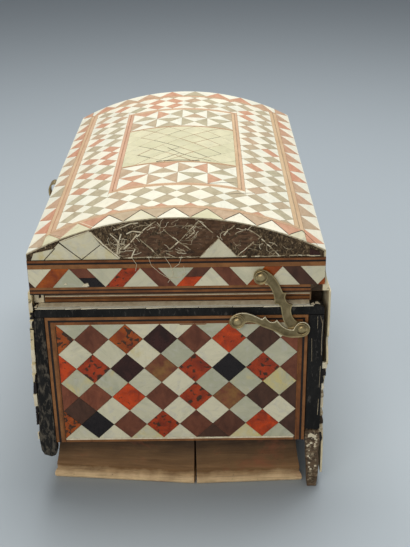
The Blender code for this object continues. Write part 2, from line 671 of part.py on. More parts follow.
# Elbow stay: scrolled arms, drawn in millimetres about their outer pivots
UPPER_ARM = [
    (-5.1, -1.3, "smooth"), (-4.6, 2.4, "smooth"), (-2.1, 4.9, "smooth"), (1.1, 5.4, "smooth"),
    (4.6, 4.0, "smooth"), (8.1, 0.8, "smooth"), (11.3, -3.7, "smooth"), (13.7, -8.6, "smooth"),
    (15.2, -12.2, "corner"), (17.8, -12.4, "corner"), (16.8, -15.4, "smooth"), (17.5, -18.3, "smooth"),
    (19.4, -20.7, "smooth"), (22.1, -21.6, "corner"), (21.2, -24.7, "smooth"), (21.4, -28.2, "smooth"),
    (22.9, -32.1, "smooth"), (25.9, -35.0, "smooth"), (30.2, -35.5, "smooth"), (33.2, -38.2, "smooth"),
    (33.1, -42.3, "smooth"), (29.4, -44.8, "smooth"), (24.6, -43.7, "smooth"), (19.6, -40.2, "smooth"),
    (15.9, -33.6, "smooth"), (14.6, -27.1, "smooth"), (13.7, -22.8, "smooth"), (12.3, -21.1, "corner"),
    (9.7, -20.8, "corner"), (9.5, -17.7, "smooth"), (8.8, -13.8, "smooth"), (7.4, -9.9, "smooth"),
    (5.6, -6.8, "smooth"), (3.4, -5.2, "smooth"), (0.0, -5.8, "smooth"), (-3.2, -4.7, "smooth"),
]
LOWER_ARM = [
    (-4.9, 0.4, "smooth"), (-3.2, 3.9, "smooth"), (0.4, 6.2, "smooth"), (5.3, 6.6, "smooth"),
    (9.5, 5.5, "smooth"), (13.7, 3.5, "smooth"), (17.3, 1.5, "corner"), (19.6, 3.5, "corner"),
    (21.5, 0.6, "smooth"), (24.3, -1.0, "smooth"), (26.4, -0.6, "corner"), (27.8, 0.7, "corner"),
    (30.0, -2.2, "smooth"), (33.1, -5.3, "smooth"), (36.7, -6.9, "smooth"), (39.5, -7.3, "corner"),
    (40.8, -4.4, "smooth"), (43.3, -1.7, "smooth"), (46.6, -1.2, "smooth"), (49.9, -3.4, "smooth"),
    (51.1, -7.0, "smooth"), (49.8, -10.9, "smooth"), (46.6, -12.9, "smooth"), (41.8, -13.4, "smooth"),
    (36.4, -13.2, "smooth"), (31.6, -11.6, "smooth"), (27.6, -9.0, "smooth"), (22.9, -6.6, "smooth"),
    (17.3, -4.3, "smooth"), (13.0, -1.8, "smooth"), (8.8, -0.7, "smooth"), (5.3, -1.2, "corner"),
    (4.0, -3.6, "smooth"), (0.6, -5.2, "smooth"), (-3.2, -4.0, "smooth"),
]


def stay_arm(outline, pivot, near):
    elbow = (STAY_ELBOW[0] - pivot[0], STAY_ELBOW[1] - pivot[1])
    shape = [(u * mm, v * mm, kind) for u, v, kind in outline]
    splines = [shape, circle_points((0.0, 0.0), EYE_HOLE), circle_points(elbow, EYE_HOLE)]
    return plate(splines, near, near + ARM_THICKNESS, pivot, resolution=3)


def stay_fixing(pivot, depth, grip, collar):
    """A round-headed screw: head, shank through the arm's eye, and a collar behind it."""
    dome = [(0.0, 1.0), (0.55, 0.86), (0.9, 0.45), (1.0, 0.0)]
    profile = [(HEAD_RADIUS * share, HEAD_HEIGHT * rise) for share, rise in dome]
    profile += [(SHANK, 0.0), (SHANK, -grip)]
    if collar > 0:
        profile += [(COLLAR_RADIUS, -grip), (COLLAR_RADIUS, -grip - collar), (0.0, -grip - collar)]
    else:
        profile += [(0.0, -grip)]
    return turned(profile, pivot, depth)


def build_stay(main):
    upper = stay_arm(UPPER_ARM, STAY_LID_PIVOT, UPPER_ARM_D)
    finish_object(upper, "stay_arm_upper", "brass", main)
    lower = stay_arm(LOWER_ARM, STAY_BODY_PIVOT, LOWER_ARM_D)
    finish_object(lower, "stay_arm_lower", "brass", main)

    grip = ARM_THICKNESS + 2 * FIT_GAP
    head_d = UPPER_ARM_D - FIT_GAP
    lid_screw = stay_fixing(STAY_LID_PIVOT, head_d, grip, -FIT_GAP - (head_d + grip))
    finish_object(lid_screw, "stay_screw_lid", "brass", main)
    head_d = LOWER_ARM_D - FIT_GAP
    body_screw = stay_fixing(STAY_BODY_PIVOT, head_d, grip, PANEL_RECESS - FIT_GAP - (head_d + grip))
    finish_object(body_screw, "stay_screw_body", "brass", main)
    rivet = stay_fixing(STAY_ELBOW, head_d, ARM_THICKNESS + FIT_GAP, 0.0)
    finish_object(rivet, "stay_rivet", "brass", main)
    return upper, lower, lid_screw, rivet


def build_catch(main):
    """A small sprung brass strip on the front of the lid, drawn as a thickened centre line."""
    root = LID_HALF + FIT_GAP + CATCH_STRIP / 2
    reach = RIGHT_REACH - CATCH_STRIP / 2
    out = reach - root
    centre = []
    for step in range(13):
        angle = math.radians(100 - 190 * step / 12)
        drop = SPRING_Z - CATCH_DROP - CATCH_HEIGHT / 2 * (1 - math.sin(angle))
        centre.append((-(root + out * max(0.0, math.cos(angle * 0.9 - 0.1))), drop))
    left = []
    right = []
    for index, (x, z) in enumerate(centre):
        before = centre[max(0, index - 1)]
        after = centre[min(len(centre) - 1, index + 1)]
        run = Vector((after[0] - before[0], after[1] - before[1])).normalized()
        side = Vector((-run.y, run.x)) * (CATCH_STRIP / 2)
        left.append((x + side.x, z + side.y))
        right.append((x - side.x, z - side.y))
    middle = CATCH_FROM_NEAR
    strip = plate([corners(left + right[::-1])], middle - CATCH_WIDTH / 2, middle + CATCH_WIDTH / 2)
    return finish_object(strip, "front_catch", "brass", main)


def hang_on(pieces, name, spot, main):
    """Parent pieces to an empty on their joint axis, without moving them."""
    pivot = bpy.data.objects.new(name, None)
    main.objects.link(pivot)
    pivot.location = spot
    bpy.context.view_layer.update()
    for piece in pieces:
        piece.parent = pivot
        piece.matrix_parent_inverse = pivot.matrix_world.inverted()
    return pivot


def main():
    for obj in list(bpy.data.objects):
        bpy.data.objects.remove(obj)
    parts = new_collection("domed_box")
    cutters = new_collection("cutters")

    build_carcass(parts, cutters)
    build_near_end(parts)
    build_far_end(parts)
    build_sides(parts)
    build_base(parts)

    lid = [build_lid_shell(parts, cutters), build_top_veneer(parts)]
    lid += build_lid_facings(parts)
    for label, middle in (("near", HINGE_INSET), ("far", LENGTH - HINGE_INSET)):
        lid.append(build_hinge(parts, cutters, label, middle))
    lid.append(build_catch(parts))

    upper, lower, lid_screw, rivet = build_stay(parts)
    lid.append(lid_screw)
    lid_pivot = hang_on(lid, "lid_hinge_axis", place(HINGE_X, LENGTH / 2, HINGE_Z), parts)
    lower_spot = place(STAY_BODY_PIVOT[0], LOWER_ARM_D, STAY_BODY_PIVOT[1])
    hang_on([lower, rivet], "stay_lower_axis", lower_spot, parts)
    upper_spot = place(STAY_LID_PIVOT[0], UPPER_ARM_D, STAY_LID_PIVOT[1])
    upper_pivot = hang_on([upper], "stay_upper_axis", upper_spot, parts)
    upper_pivot.parent = lid_pivot
    upper_pivot.matrix_parent_inverse = lid_pivot.matrix_world.inverted()


main()
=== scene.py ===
import math
import random

import bmesh
import bpy
from mathutils import Matrix, Vector, noise


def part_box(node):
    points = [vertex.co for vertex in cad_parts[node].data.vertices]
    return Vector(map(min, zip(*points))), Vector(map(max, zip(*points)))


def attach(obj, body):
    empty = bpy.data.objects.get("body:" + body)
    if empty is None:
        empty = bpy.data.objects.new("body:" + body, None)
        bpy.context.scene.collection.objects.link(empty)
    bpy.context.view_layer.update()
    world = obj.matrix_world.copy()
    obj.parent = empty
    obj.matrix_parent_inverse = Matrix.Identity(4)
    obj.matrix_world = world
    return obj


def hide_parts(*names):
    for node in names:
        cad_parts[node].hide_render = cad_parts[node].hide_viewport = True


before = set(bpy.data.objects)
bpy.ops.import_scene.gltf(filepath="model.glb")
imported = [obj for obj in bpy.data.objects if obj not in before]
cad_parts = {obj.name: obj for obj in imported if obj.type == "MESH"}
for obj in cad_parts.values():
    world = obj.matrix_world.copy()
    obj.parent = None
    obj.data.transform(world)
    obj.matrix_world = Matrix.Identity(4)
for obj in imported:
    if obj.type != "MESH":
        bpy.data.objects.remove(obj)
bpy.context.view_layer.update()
mm = 0.001
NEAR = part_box("lid_band_near")[0][1]
LENGTH = (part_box("lid_facing_far")[1][1] - NEAR) / mm


def span(node):
    """A CAD node's lowest and highest (x, d, z) in millimetres."""
    return [(corner[0] / mm, (corner[1] - NEAR) / mm, corner[2] / mm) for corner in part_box(node)]


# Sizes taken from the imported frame
(PANEL_LEFT, PANEL_FACE, PANEL_BOTTOM), (PANEL_RIGHT, _, PANEL_TOP) = span("end_panel_near")
(_, _, LID_BOTTOM), (LID_HALF, _, BAND_TOP) = span("lid_band_near")
(RAIL_LEFT, _, _), (_, RAIL_DEPTH, LEDGE_Z) = span("ebony_rail_near")
GABLE_FACE = span("lid_shell")[0][1]
CARCASS_FACE = span("carcass")[0][1]
LID_TOP = span("lid_top_veneer")[1][2]

# Sizes of the vault, as in the part
ARCH_RISE = 25.8
ARCH_RADIUS = (LID_HALF**2 + ARCH_RISE**2) / (2 * ARCH_RISE)
ARCH_CENTRE = LID_TOP - ARCH_RADIUS
ARC_HALF = ARCH_RADIUS * math.asin(LID_HALF / ARCH_RADIUS)
VENEER = 1.2
VENEER_GAP = 0.3
VAULT_SLICES = (6.0, -ARC_HALF, ARC_HALF)

# Laid work
JOINT = 0.28
TILE = 0.42
TILE_EDGE = 0.1
CRUMB_AREA = 0.25
NEAR_FIELD = (-86.6, 47.0, 84.8, 143.9)
FIELD_LEFT, FIELD_BOTTOM, FIELD_RIGHT, _ = NEAR_FIELD
COLUMNS, ROWS = 7, 4
ZIGZAG_BOTTOM = 173.9
ZIGZAG_TOP = 188.0
ZIGZAG_PITCH = 24.4
ZIGZAG_START = -98.0

# Skins of the sides, sprung outwards at their near ends as in the part
FRONT_FACE = 104.4
FRONT_SPREAD = 3.6
BACK_FACE = 104.8
BACK_SPREAD = 2.0
SPREAD_LENGTH = 75.0
BODY_TOP = LID_BOTTOM - 0.3
FRONT_LEAN = [(0.0, 1.0), (0.45, 1.0), (0.6, 0.72), (0.76, 0.36), (0.845, 0.16), (0.89, 0.0), (1.0, 0.0)]
BACK_LEAN = [(0.0, 0.9), (0.3, 0.7), (0.57, 0.4), (0.64, 1.3), (0.77, 1.1), (1.0, 1.0)]


def at(x, d, z):
    return Vector((x * mm, NEAR + d * mm, z * mm))


def along(points, value):
    for (low, first), (high, second) in zip(points, points[1:]):
        if value <= high:
            return first + (second - first) * max(0.0, (value - low) / (high - low))
    return points[-1][1]


def skin_lift(spread, lean, d, z):
    share = min(1.0, max(0.0, 1 - d / SPREAD_LENGTH))
    return spread * along(lean, z / BODY_TOP) * share * share * (3 - 2 * share)


# Where a flat sheet of laid work (u, v, height) goes on the box
def near_end(face):
    return lambda u, v, h: at(u, face - h, v)


def far_end(face):
    return lambda u, v, h: at(-u, face + h, v)


def lid_front(u, v, h):
    return at(-LID_HALF - h, LENGTH - u, v)


def front_skin(u, v, h):
    return at(-FRONT_FACE - skin_lift(FRONT_SPREAD, FRONT_LEAN, LENGTH - u, v) - h, LENGTH - u, v)


def back_skin(u, v, h):
    return at(BACK_FACE + skin_lift(BACK_SPREAD, BACK_LEAN, u, v) + h, u, v)


def vault(u, v, h):
    angle = u / ARCH_RADIUS
    radius = ARCH_RADIUS + h
    return at(radius * math.sin(angle), v, ARCH_CENTRE + radius * math.cos(angle))


# Shader helpers
def add(tree, kind, inputs=None, **settings):
    """A node with its settings and inputs; an input is a value, a colour or another node's output."""
    made = tree.nodes.new("ShaderNode" + kind)
    for key, value in settings.items():
        setattr(made, key, value)
    for key, value in (inputs or {}).items():
        socket = made.inputs[key]
        if isinstance(value, bpy.types.NodeSocket):
            tree.links.new(value, socket)
        else:
            socket.default_value = (*value, 1.0) if socket.type == "RGBA" else value
    return made


def cloud(tree, place, scale, detail=3.0, rough=0.55, twist=0.0):
    inputs = {"Vector": place, "Scale": scale, "Detail": detail, "Roughness": rough, "Distortion": twist}
    return add(tree, "TexNoise", inputs).outputs["Fac"]


def window(tree, value, low, high, out_low=0.0, out_high=1.0):
    """Value read between low and high, spread over out_low to out_high and held there."""
    inputs = {"Value": value, "From Min": low, "From Max": high, "To Min": out_low, "To Max": out_high}
    return add(tree, "MapRange", inputs).outputs["Result"]


def reckon(tree, operation, first, second=0.0):
    return add(tree, "Math", {0: first, 1: second}, operation=operation).outputs[0]


def blend(tree, share, first, second):
    return add(tree, "Mix", {0: share, 6: first, 7: second}, data_type="RGBA").outputs[2]


def ladder(tree, value, *stops):
    made = add(tree, "ValToRGB", {"Fac": value})
    elements = made.color_ramp.elements
    while len(elements) < len(stops):
        elements.new(0.5)
    for element, (position, colour) in zip(elements, stops):
        element.position = position
        element.color = (*colour, 1.0)
    return made.outputs["Color"]


def stretched(tree, place, scale, turn=(0.0, 0.0, 0.0)):
    return add(tree, "Mapping", {"Vector": place, "Scale": scale, "Rotation": turn}).outputs["Vector"]


def nudged(tree, place, across, other):
    """A place moved by a tile's turn, so that no two tiles show the same patch."""
    move = add(tree, "CombineXYZ", {0: across, 1: other, 2: other}).outputs[0]
    return add(tree, "VectorMath", {0: place, 1: move}, operation="ADD").outputs[0]


def new_group(name, inputs, outputs):
    tree = bpy.data.node_groups.new(name, "ShaderNodeTree")
    for direction, sockets in (("INPUT", inputs), ("OUTPUT", outputs)):
        for label, kind, *value in sockets:
            socket = tree.interface.new_socket(label, in_out=direction, socket_type="NodeSocket" + kind)
            if value:
                socket.default_value = value[0]
    return tree, tree.nodes.new("NodeGroupInput").outputs, tree.nodes.new("NodeGroupOutput").inputs


def grain_group():
    """Long fibres, pores and broad colour bands of a wood, along the way Place is stretched."""
    tree, given, result = new_group(
        "wood_grain",
        [("Place", "Vector"), ("Light", "Color"), ("Dark", "Color"), ("Scale", "Float", 200.0),
         ("Contrast", "Float", 0.6)],
        [("Color", "Color"), ("Height", "Float")])
    broad = cloud(tree, given["Place"], given["Scale"], 4.0, 0.6, 0.6)
    finer = cloud(tree, given["Place"], reckon(tree, "MULTIPLY", given["Scale"], 5.0), 3.0, 0.7)
    pores = window(tree, finer, 0.55, 0.7)
    share = reckon(tree, "MULTIPLY", window(tree, broad, 0.33, 0.68), given["Contrast"])
    colour = blend(tree, share, given["Light"], given["Dark"])
    colour = blend(tree, reckon(tree, "MULTIPLY", pores, 0.45), colour, given["Dark"])
    tree.links.new(colour, result["Color"])
    tree.links.new(reckon(tree, "SUBTRACT", broad, reckon(tree, "MULTIPLY", pores, 0.6)), result["Height"])
    return tree


def dirt_group():
    """Dust, grime or a stain in uneven patches over a colour."""
    tree, given, result = new_group(
        "dirt_patches",
        [("Color", "Color"), ("Place", "Vector"), ("Dirt", "Color"), ("Scale", "Float", 80.0),
         ("Amount", "Float", 0.4), ("Strength", "Float", 0.8)],
        [("Color", "Color"), ("Mask", "Float")])
    patches = cloud(tree, given["Place"], given["Scale"], 6.0, 0.65, 0.4)
    edge = reckon(tree, "SUBTRACT", 0.78, reckon(tree, "MULTIPLY", given["Amount"], 0.5))
    mask = window(tree, patches, edge, reckon(tree, "ADD", edge, 0.12))
    mask = reckon(tree, "MULTIPLY", mask, given["Strength"])
    tree.links.new(blend(tree, mask, given["Color"], given["Dirt"]), result["Color"])
    tree.links.new(mask, result["Mask"])
    return tree


def shell_group():
    """Pale sea shell: soft greenish and pinkish clouds, growth lines turned tile by tile, stains."""
    tree, given, result = new_group(
        "pale_shell",
        [("Place", "Vector"), ("Tone", "Float", 0.5), ("Stain", "Float", 0.0), ("Turn", "Float", 0.0),
         ("Cool", "Color"), ("Warm", "Color"), ("Blush", "Color"), ("Stain Color", "Color")],
        [("Color", "Color"), ("Gloss", "Float"), ("Height", "Float")])
    angle = reckon(tree, "MULTIPLY", given["Turn"], 6.28)
    turned = add(tree, "VectorRotate", {"Vector": given["Place"], "Angle": angle, "Axis": (0.35, 0.9, 0.25)})
    turned = turned.outputs["Vector"]
    lines = cloud(tree, stretched(tree, turned, (1.0, 0.3, 0.12)), 420.0, 3.0, 0.6, 0.5)
    clouds = cloud(tree, stretched(tree, turned, (1.0, 0.6, 0.45)), 95.0, 3.0, 0.5, 0.8)
    shift = reckon(tree, "ADD", reckon(tree, "MULTIPLY", clouds, 0.9), given["Tone"])
    colour = blend(tree, window(tree, shift, 0.55, 1.25), given["Cool"], given["Warm"])
    blush = window(tree, cloud(tree, turned, 130.0, 2.0, 0.5, 1.2), 0.52, 0.72, 0.0, 0.55)
    colour = blend(tree, blush, colour, given["Blush"])
    colour = blend(tree, window(tree, lines, 0.5, 0.75, 0.0, 0.22), colour, (0.30, 0.29, 0.22))
    stain = cloud(tree, given["Place"], 120.0, 4.0, 0.6, 0.6)
    mask = window(tree, reckon(tree, "ADD", stain, given["Stain"]), 0.95, 1.25, 0.0, 0.85)
    colour = blend(tree, mask, colour, given["Stain Color"])
    specks = window(tree, cloud(tree, given["Place"], 900.0, 2.0), 0.69, 0.76, 0.0, 0.5)
    colour = blend(tree, specks, colour, (0.16, 0.13, 0.08))
    tree.links.new(colour, result["Color"])
    tree.links.new(window(tree, clouds, 0.3, 0.7, 0.2, 0.42), result["Gloss"])
    tree.links.new(reckon(tree, "ADD", reckon(tree, "MULTIPLY", lines, 0.6), clouds), result["Height"])
    return tree


GRAIN = grain_group()
DIRT = dirt_group()
SHELL = shell_group()


def placed(tree, group, *values):
    """A shared group's outputs; values are its inputs in their order."""
    return add(tree, "Group", dict(enumerate(values)), node_tree=group).outputs


class Finish:
    """A material on its way: its tree, its shader, the object's own coordinates and the tile's marks."""

    def __init__(self, name, roughness=0.5, metallic=0.0, coat=0.0, mirror=0.25):
        self.material = bpy.data.materials.new(name)
        self.material.use_nodes = True
        self.tree = self.material.node_tree
        self.shader = self.tree.nodes["Principled BSDF"]
        for label, value in (("Roughness", roughness), ("Metallic", metallic), ("Coat Weight", coat),
                             ("Specular IOR Level", mirror)):
            self.shader.inputs[label].default_value = value
        self.place = add(self.tree, "TexCoord").outputs["Object"]

    def marks(self):
        """The tile's tone, stain and turn."""
        read = add(self.tree, "Attribute", attribute_name="tile")
        return add(self.tree, "SeparateColor", {"Color": read.outputs["Color"]}).outputs

    def colour(self, output):
        self.tree.links.new(output, self.shader.inputs["Base Color"])

    def gloss(self, output):
        self.tree.links.new(output, self.shader.inputs["Roughness"])

    def relief(self, output, depth, strength=0.6):
        inputs = {"Height": output, "Distance": depth * mm, "Strength": strength}
        self.tree.links.new(add(self.tree, "Bump", inputs).outputs["Normal"], self.shader.inputs["Normal"])


def wood(name, light, dark, scale, stretch, contrast, roughness, dirt=None, tiled=None):
    """A wood finish; tiled gives the second pair of colours that a tile's tone leads to."""
    finish = Finish(name)
    tree = finish.tree
    place = stretched(tree, finish.place, stretch)
    if tiled:
        marks = finish.marks()
        light = blend(tree, marks[0], light, tiled[0])
        dark = blend(tree, marks[0], dark, tiled[1])
        place = nudged(tree, place, reckon(tree, "MULTIPLY", marks[2], 0.3), marks[2])
    grain = placed(tree, GRAIN, place, light, dark, scale, contrast)
    colour = grain["Color"]
    if tiled:
        stained = reckon(tree, "ADD", cloud(tree, finish.place, 140.0, 3.0), marks[1])
        colour = blend(tree, window(tree, stained, 0.95, 1.35, 0.0, 0.8), colour, (0.34, 0.19, 0.05))
    if dirt:
        colour = placed(tree, DIRT, colour, finish.place, *dirt)["Color"]
    finish.colour(colour)
    finish.gloss(window(tree, grain["Height"], 0.2, 0.8, *roughness))
    finish.relief(grain["Height"], 0.12)
    return finish.material


def shell(name, cool, warm, blush, stain, gloss=1.0):
    finish = Finish(name, coat=0.08, mirror=0.45)
    tree = finish.tree
    marks = finish.marks()
    look = placed(tree, SHELL, finish.place, marks[0], marks[1], marks[2], cool, warm, blush, stain)
    finish.colour(look["Color"])
    finish.gloss(reckon(tree, "MULTIPLY", look["Gloss"], gloss))
    finish.relief(look["Height"], 0.1, 0.35)
    return finish.material


def red_shell():
    """Clear orange to red shell with dark cloudy spots; a tile's stain is how spotted it is."""
    finish = Finish("red_shell", coat=0.1, mirror=0.3)
    tree = finish.tree
    marks = finish.marks()
    ground = ladder(tree, marks[0], (0.0, (0.40, 0.085, 0.005)), (0.5, (0.40, 0.042, 0.003)),
                    (1.0, (0.62, 0.062, 0.003)))
    place = nudged(tree, finish.place, marks[2], marks[2])
    depths = window(tree, cloud(tree, place, 110.0, 3.0, 0.55, 0.6), 0.38, 0.68)
    ground = blend(tree, reckon(tree, "MULTIPLY", depths, 0.75), ground, (0.13, 0.016, 0.004))
    blots = cloud(tree, place, 250.0, 2.0, 0.45, 0.4)
    level = reckon(tree, "SUBTRACT", 0.70, reckon(tree, "MULTIPLY", marks[1], 0.22))
    spots = window(tree, blots, level, reckon(tree, "ADD", level, 0.055), 0.0, 0.93)
    finish.colour(blend(tree, spots, ground, (0.036, 0.019, 0.007)))
    finish.gloss(window(tree, blots, 0.3, 0.7, 0.2, 0.36))
    finish.relief(blots, 0.08, 0.3)
    return finish.material


def glue():
    finish = Finish("old_glue", 0.85)
    tree = finish.tree
    lumps = cloud(tree, finish.place, 500.0, 4.0, 0.6)
    finish.colour(ladder(tree, lumps, (0.3, (0.17, 0.12, 0.07)), (0.5, (0.42, 0.34, 0.22)),
                         (0.75, (0.60, 0.53, 0.38))))
    finish.relief(lumps, 0.3)
    return finish.material


def ground(name, dark, light, fleck, flecks=0.38):
    """Rough ground under lost tiles: dark wood and mastic with pale flecks."""
    finish = Finish(name, 0.85)
    tree = finish.tree
    grain = placed(tree, GRAIN, stretched(tree, finish.place, (0.5, 1.0, 1.0)), light, dark, 260.0, 0.9)
    layer = placed(tree, DIRT, grain["Color"], finish.place, fleck, 420.0, flecks, 0.7)
    finish.colour(layer["Color"])
    finish.relief(reckon(tree, "ADD", grain["Height"], layer["Mask"]), 0.35, 0.8)
    return finish.material


def gable_ground():
    """Under the gable's lost tiles: brown wood where the sheet's mark says so, dark mastic elsewhere."""
    finish = Finish("gable_ground", 0.8)
    tree = finish.tree
    marks = finish.marks()
    grain = placed(tree, GRAIN, stretched(tree, finish.place, (0.35, 1.0, 1.0)), (0.14, 0.072, 0.036),
                   (0.034, 0.018, 0.01), 330.0, 0.8)
    slanting = stretched(tree, finish.place, (1.0, 1.0, 0.6), (0.0, 0.6, 0.0))
    crumbs = cloud(tree, slanting, 620.0, 5.0, 0.7, 1.2)
    mastic = ladder(tree, crumbs, (0.36, (0.02, 0.013, 0.008)), (0.5, (0.07, 0.045, 0.024)),
                    (0.6, (0.19, 0.13, 0.07)), (0.72, (0.55, 0.44, 0.28)))
    edge = window(tree, reckon(tree, "ADD", marks[0], reckon(tree, "MULTIPLY", crumbs, 0.5)), 0.65, 0.85)
    finish.colour(blend(tree, edge, mastic, grain["Color"]))
    finish.relief(reckon(tree, "ADD", crumbs, reckon(tree, "MULTIPLY", grain["Height"], 0.3)), 0.5, 0.9)
    return finish.material


def ebony(name, dust, amount):
    finish = Finish(name, mirror=0.12)
    tree = finish.tree
    grain = placed(tree, GRAIN, stretched(tree, finish.place, (0.25, 1.0, 0.12)), (0.017, 0.016, 0.015),
                   (0.005, 0.005, 0.005), 320.0, 0.8)
    long_place = stretched(tree, finish.place, (1.0, 1.0, 0.35))
    worn = placed(tree, DIRT, grain["Color"], long_place, dust, 430.0, amount, 0.6)
    specks = placed(tree, DIRT, worn["Color"], finish.place, (0.42, 0.38, 0.29), 850.0, 0.22, 0.8)
    finish.colour(specks["Color"])
    finish.gloss(window(tree, reckon(tree, "ADD", grain["Height"], worn["Mask"]), 0.2, 1.2, 0.33, 0.8))
    finish.relief(reckon(tree, "SUBTRACT", grain["Height"], worn["Mask"]), 0.25, 0.8)
    return finish.material


def bare_board():
    """The base's plain wood: fine grain, a painted shadow under the panel and a painted highlight on its
    foot.
    """
    finish = Finish("bare_board")
    tree = finish.tree
    grain = placed(tree, GRAIN, stretched(tree, finish.place, (0.06, 0.3, 1.0)), (0.26, 0.142, 0.06),
                   (0.125, 0.062, 0.024), 340.0, 0.7)
    height = add(tree, "SeparateXYZ", {0: finish.place}).outputs["Z"]
    uneven = reckon(tree, "MULTIPLY", cloud(tree, finish.place, 90.0, 4.0), 9 * mm)
    level = reckon(tree, "ADD", height, uneven)
    # Painted shadow: darker towards the top, under the panel
    shade = window(tree, level, 19 * mm, 42 * mm, 0.0, 0.95)
    # Painted highlight: brighter towards the foot, where it faces up to the light
    painted_highlight = window(tree, level, 16 * mm, 6 * mm, 0.0, 0.95)
    colour = blend(tree, shade, grain["Color"], (0.022, 0.012, 0.007))
    colour = blend(tree, painted_highlight, colour, (1.0, 0.73, 0.42))
    seams = cloud(tree, stretched(tree, finish.place, (0.04, 0.3, 1.0)), 900.0, 3.0, 0.6)
    colour = blend(tree, window(tree, seams, 0.5, 0.7, 0.0, 0.4), colour, (0.12, 0.07, 0.035))
    long_place = stretched(tree, finish.place, (0.7, 1.0, 1.0))
    red = placed(tree, DIRT, colour, long_place, (0.30, 0.085, 0.04), 38.0, 0.42, 0.45)
    grime = placed(tree, DIRT, red["Color"], finish.place, (0.05, 0.03, 0.018), 300.0, 0.3, 0.6)
    finish.colour(grime["Color"])
    finish.gloss(window(tree, grain["Height"], 0.2, 0.8, 0.42, 0.7))
    finish.relief(grain["Height"], 0.2, 0.7)
    return finish.material


def bone(name, light, dark, holes):
    """Cream broken edge of a thin veneer, yellowed, with dirty holes."""
    finish = Finish(name)
    tree = finish.tree
    grain = placed(tree, GRAIN, stretched(tree, finish.place, (1.0, 0.5, 0.35)), light, dark, 240.0, 0.8)
    worn = placed(tree, DIRT, grain["Color"], finish.place, (0.10, 0.085, 0.045), 210.0, holes, 0.9)
    finish.colour(worn["Color"])
    finish.gloss(window(tree, grain["Height"], 0.2, 0.8, 0.45, 0.75))
    finish.relief(reckon(tree, "SUBTRACT", grain["Height"], worn["Mask"]), 0.3, 0.8)
    return finish.material


def brass(name, low, middle, high, metal=(0.9, 0.35)):
    finish = Finish(name, metallic=1.0, mirror=0.5)
    tree = finish.tree
    bands = cloud(tree, finish.place, 190.0, 5.0, 0.6, 0.5)
    colour = ladder(tree, bands, (0.32, low), (0.5, middle), (0.7, high))
    grime = placed(tree, DIRT, colour, finish.place, (0.055, 0.045, 0.025), 520.0, 0.24, 0.5)
    finish.colour(grime["Color"])
    finish.gloss(window(tree, bands, 0.3, 0.7, 0.3, 0.45))
    tree.links.new(window(tree, grime["Mask"], 0.0, 1.0, *metal), finish.shader.inputs["Metallic"])
    finish.relief(cloud(tree, finish.place, 900.0, 3.0), 0.06, 0.5)
    return finish.material


# Finishes of the laid pieces, in the order of their numbers
(PEARL, RED, MAROON, BLACK, STRING, DARK_STRING, PEARL_WITH_SHEEN, SLAT_WITH_SHEEN, STRING_WITH_SHEEN, BONE, GLUE, YELLOWED,
 MASTIC_LINE, GABLE, BARED) = range(15)
MASTIC = ground("dark_mastic", (0.02, 0.014, 0.01), (0.055, 0.036, 0.022), (0.20, 0.15, 0.09))
INLAY = [
    shell("pale_shell", (0.46, 0.455, 0.32), (0.74, 0.685, 0.49), (0.56, 0.54, 0.47), (0.66, 0.54, 0.20)),
    red_shell(),
    wood("maroon_wood", (0.075, 0.036, 0.022), (0.035, 0.018, 0.012), 300.0, (0.5, 1.0, 0.3), 0.8, (0.3, 0.5),
         tiled=((0.27, 0.082, 0.04), (0.13, 0.035, 0.018))),
    wood("black_wood", (0.016, 0.013, 0.014), (0.006, 0.005, 0.006), 300.0, (0.4, 1.0, 0.3), 0.8, (0.22, 0.4),
         tiled=((0.062, 0.018, 0.013), (0.02, 0.008, 0.006))),
    wood("string_wood", (0.26, 0.09, 0.024), (0.095, 0.03, 0.01), 420.0, (0.16, 0.16, 0.16), 0.8, (0.35, 0.6),
         ((0.06, 0.035, 0.02), 240.0, 0.35, 0.5), tiled=((0.33, 0.145, 0.05), (0.14, 0.056, 0.018))),
    wood("dark_string", (0.018, 0.012, 0.010), (0.006, 0.004, 0.004), 420.0, (0.2, 0.2, 0.2), 0.6,
         (0.4, 0.6)),
    # Pale, low-contrast shell, slat and string finishes: their own shell and wood colours with painted sheen
    # of the overhead light
    shell("shell_paled_by_painted_sheen", (0.72, 0.715, 0.60), (0.76, 0.73, 0.595), (0.75, 0.705, 0.595), (0.62, 0.52, 0.27),
          1.4),
    wood("slat_paled_by_painted_sheen", (0.46, 0.42, 0.29), (0.34, 0.30, 0.20), 260.0, (0.6, 0.4, 1.0), 0.9, (0.35, 0.55),
         tiled=((0.60, 0.31, 0.20), (0.45, 0.20, 0.12))),
    wood("string_paled_by_painted_sheen", (0.60, 0.45, 0.28), (0.48, 0.33, 0.19), 300.0, (0.3, 0.1, 0.3), 0.8, (0.35, 0.6),
         ((0.24, 0.15, 0.09), 200.0, 0.3, 0.6), tiled=((0.60, 0.38, 0.26), (0.44, 0.27, 0.18))),
    bone("cream_strip", (0.86, 0.79, 0.60), (0.62, 0.51, 0.33), 0.22),
    glue(),
    shell("yellowed_shell", (0.56, 0.54, 0.355), (0.63, 0.60, 0.41), (0.61, 0.585, 0.42), (0.48, 0.40, 0.18),
          1.3),
    MASTIC,
    gable_ground(),
    wood("bared_lozenge", (0.165, 0.085, 0.044), (0.036, 0.019, 0.011), 420.0, (0.35, 1.0, 1.0), 1.0,
         (0.55, 0.8), ((0.34, 0.25, 0.15), 420.0, 0.42, 0.6)),
]


# Laying tiles: a sheet is a bmesh of flat tiles in (u, v), each marked with tone, stain and turn
MARKS = ("tone", "stain", "turn")
dice = random.Random(11)
patch = [0]  # the number of the patch being laid


def new_patch():
    """Number the tiles laid from here on, so that they can be trimmed alone."""
    patch[0] += 1
    return patch[0]


def new_sheet():
    sheet = bmesh.new()
    sheet.faces.layers.int.new("patch")
    for mark in MARKS:
        sheet.faces.layers.float.new(mark)
    return sheet


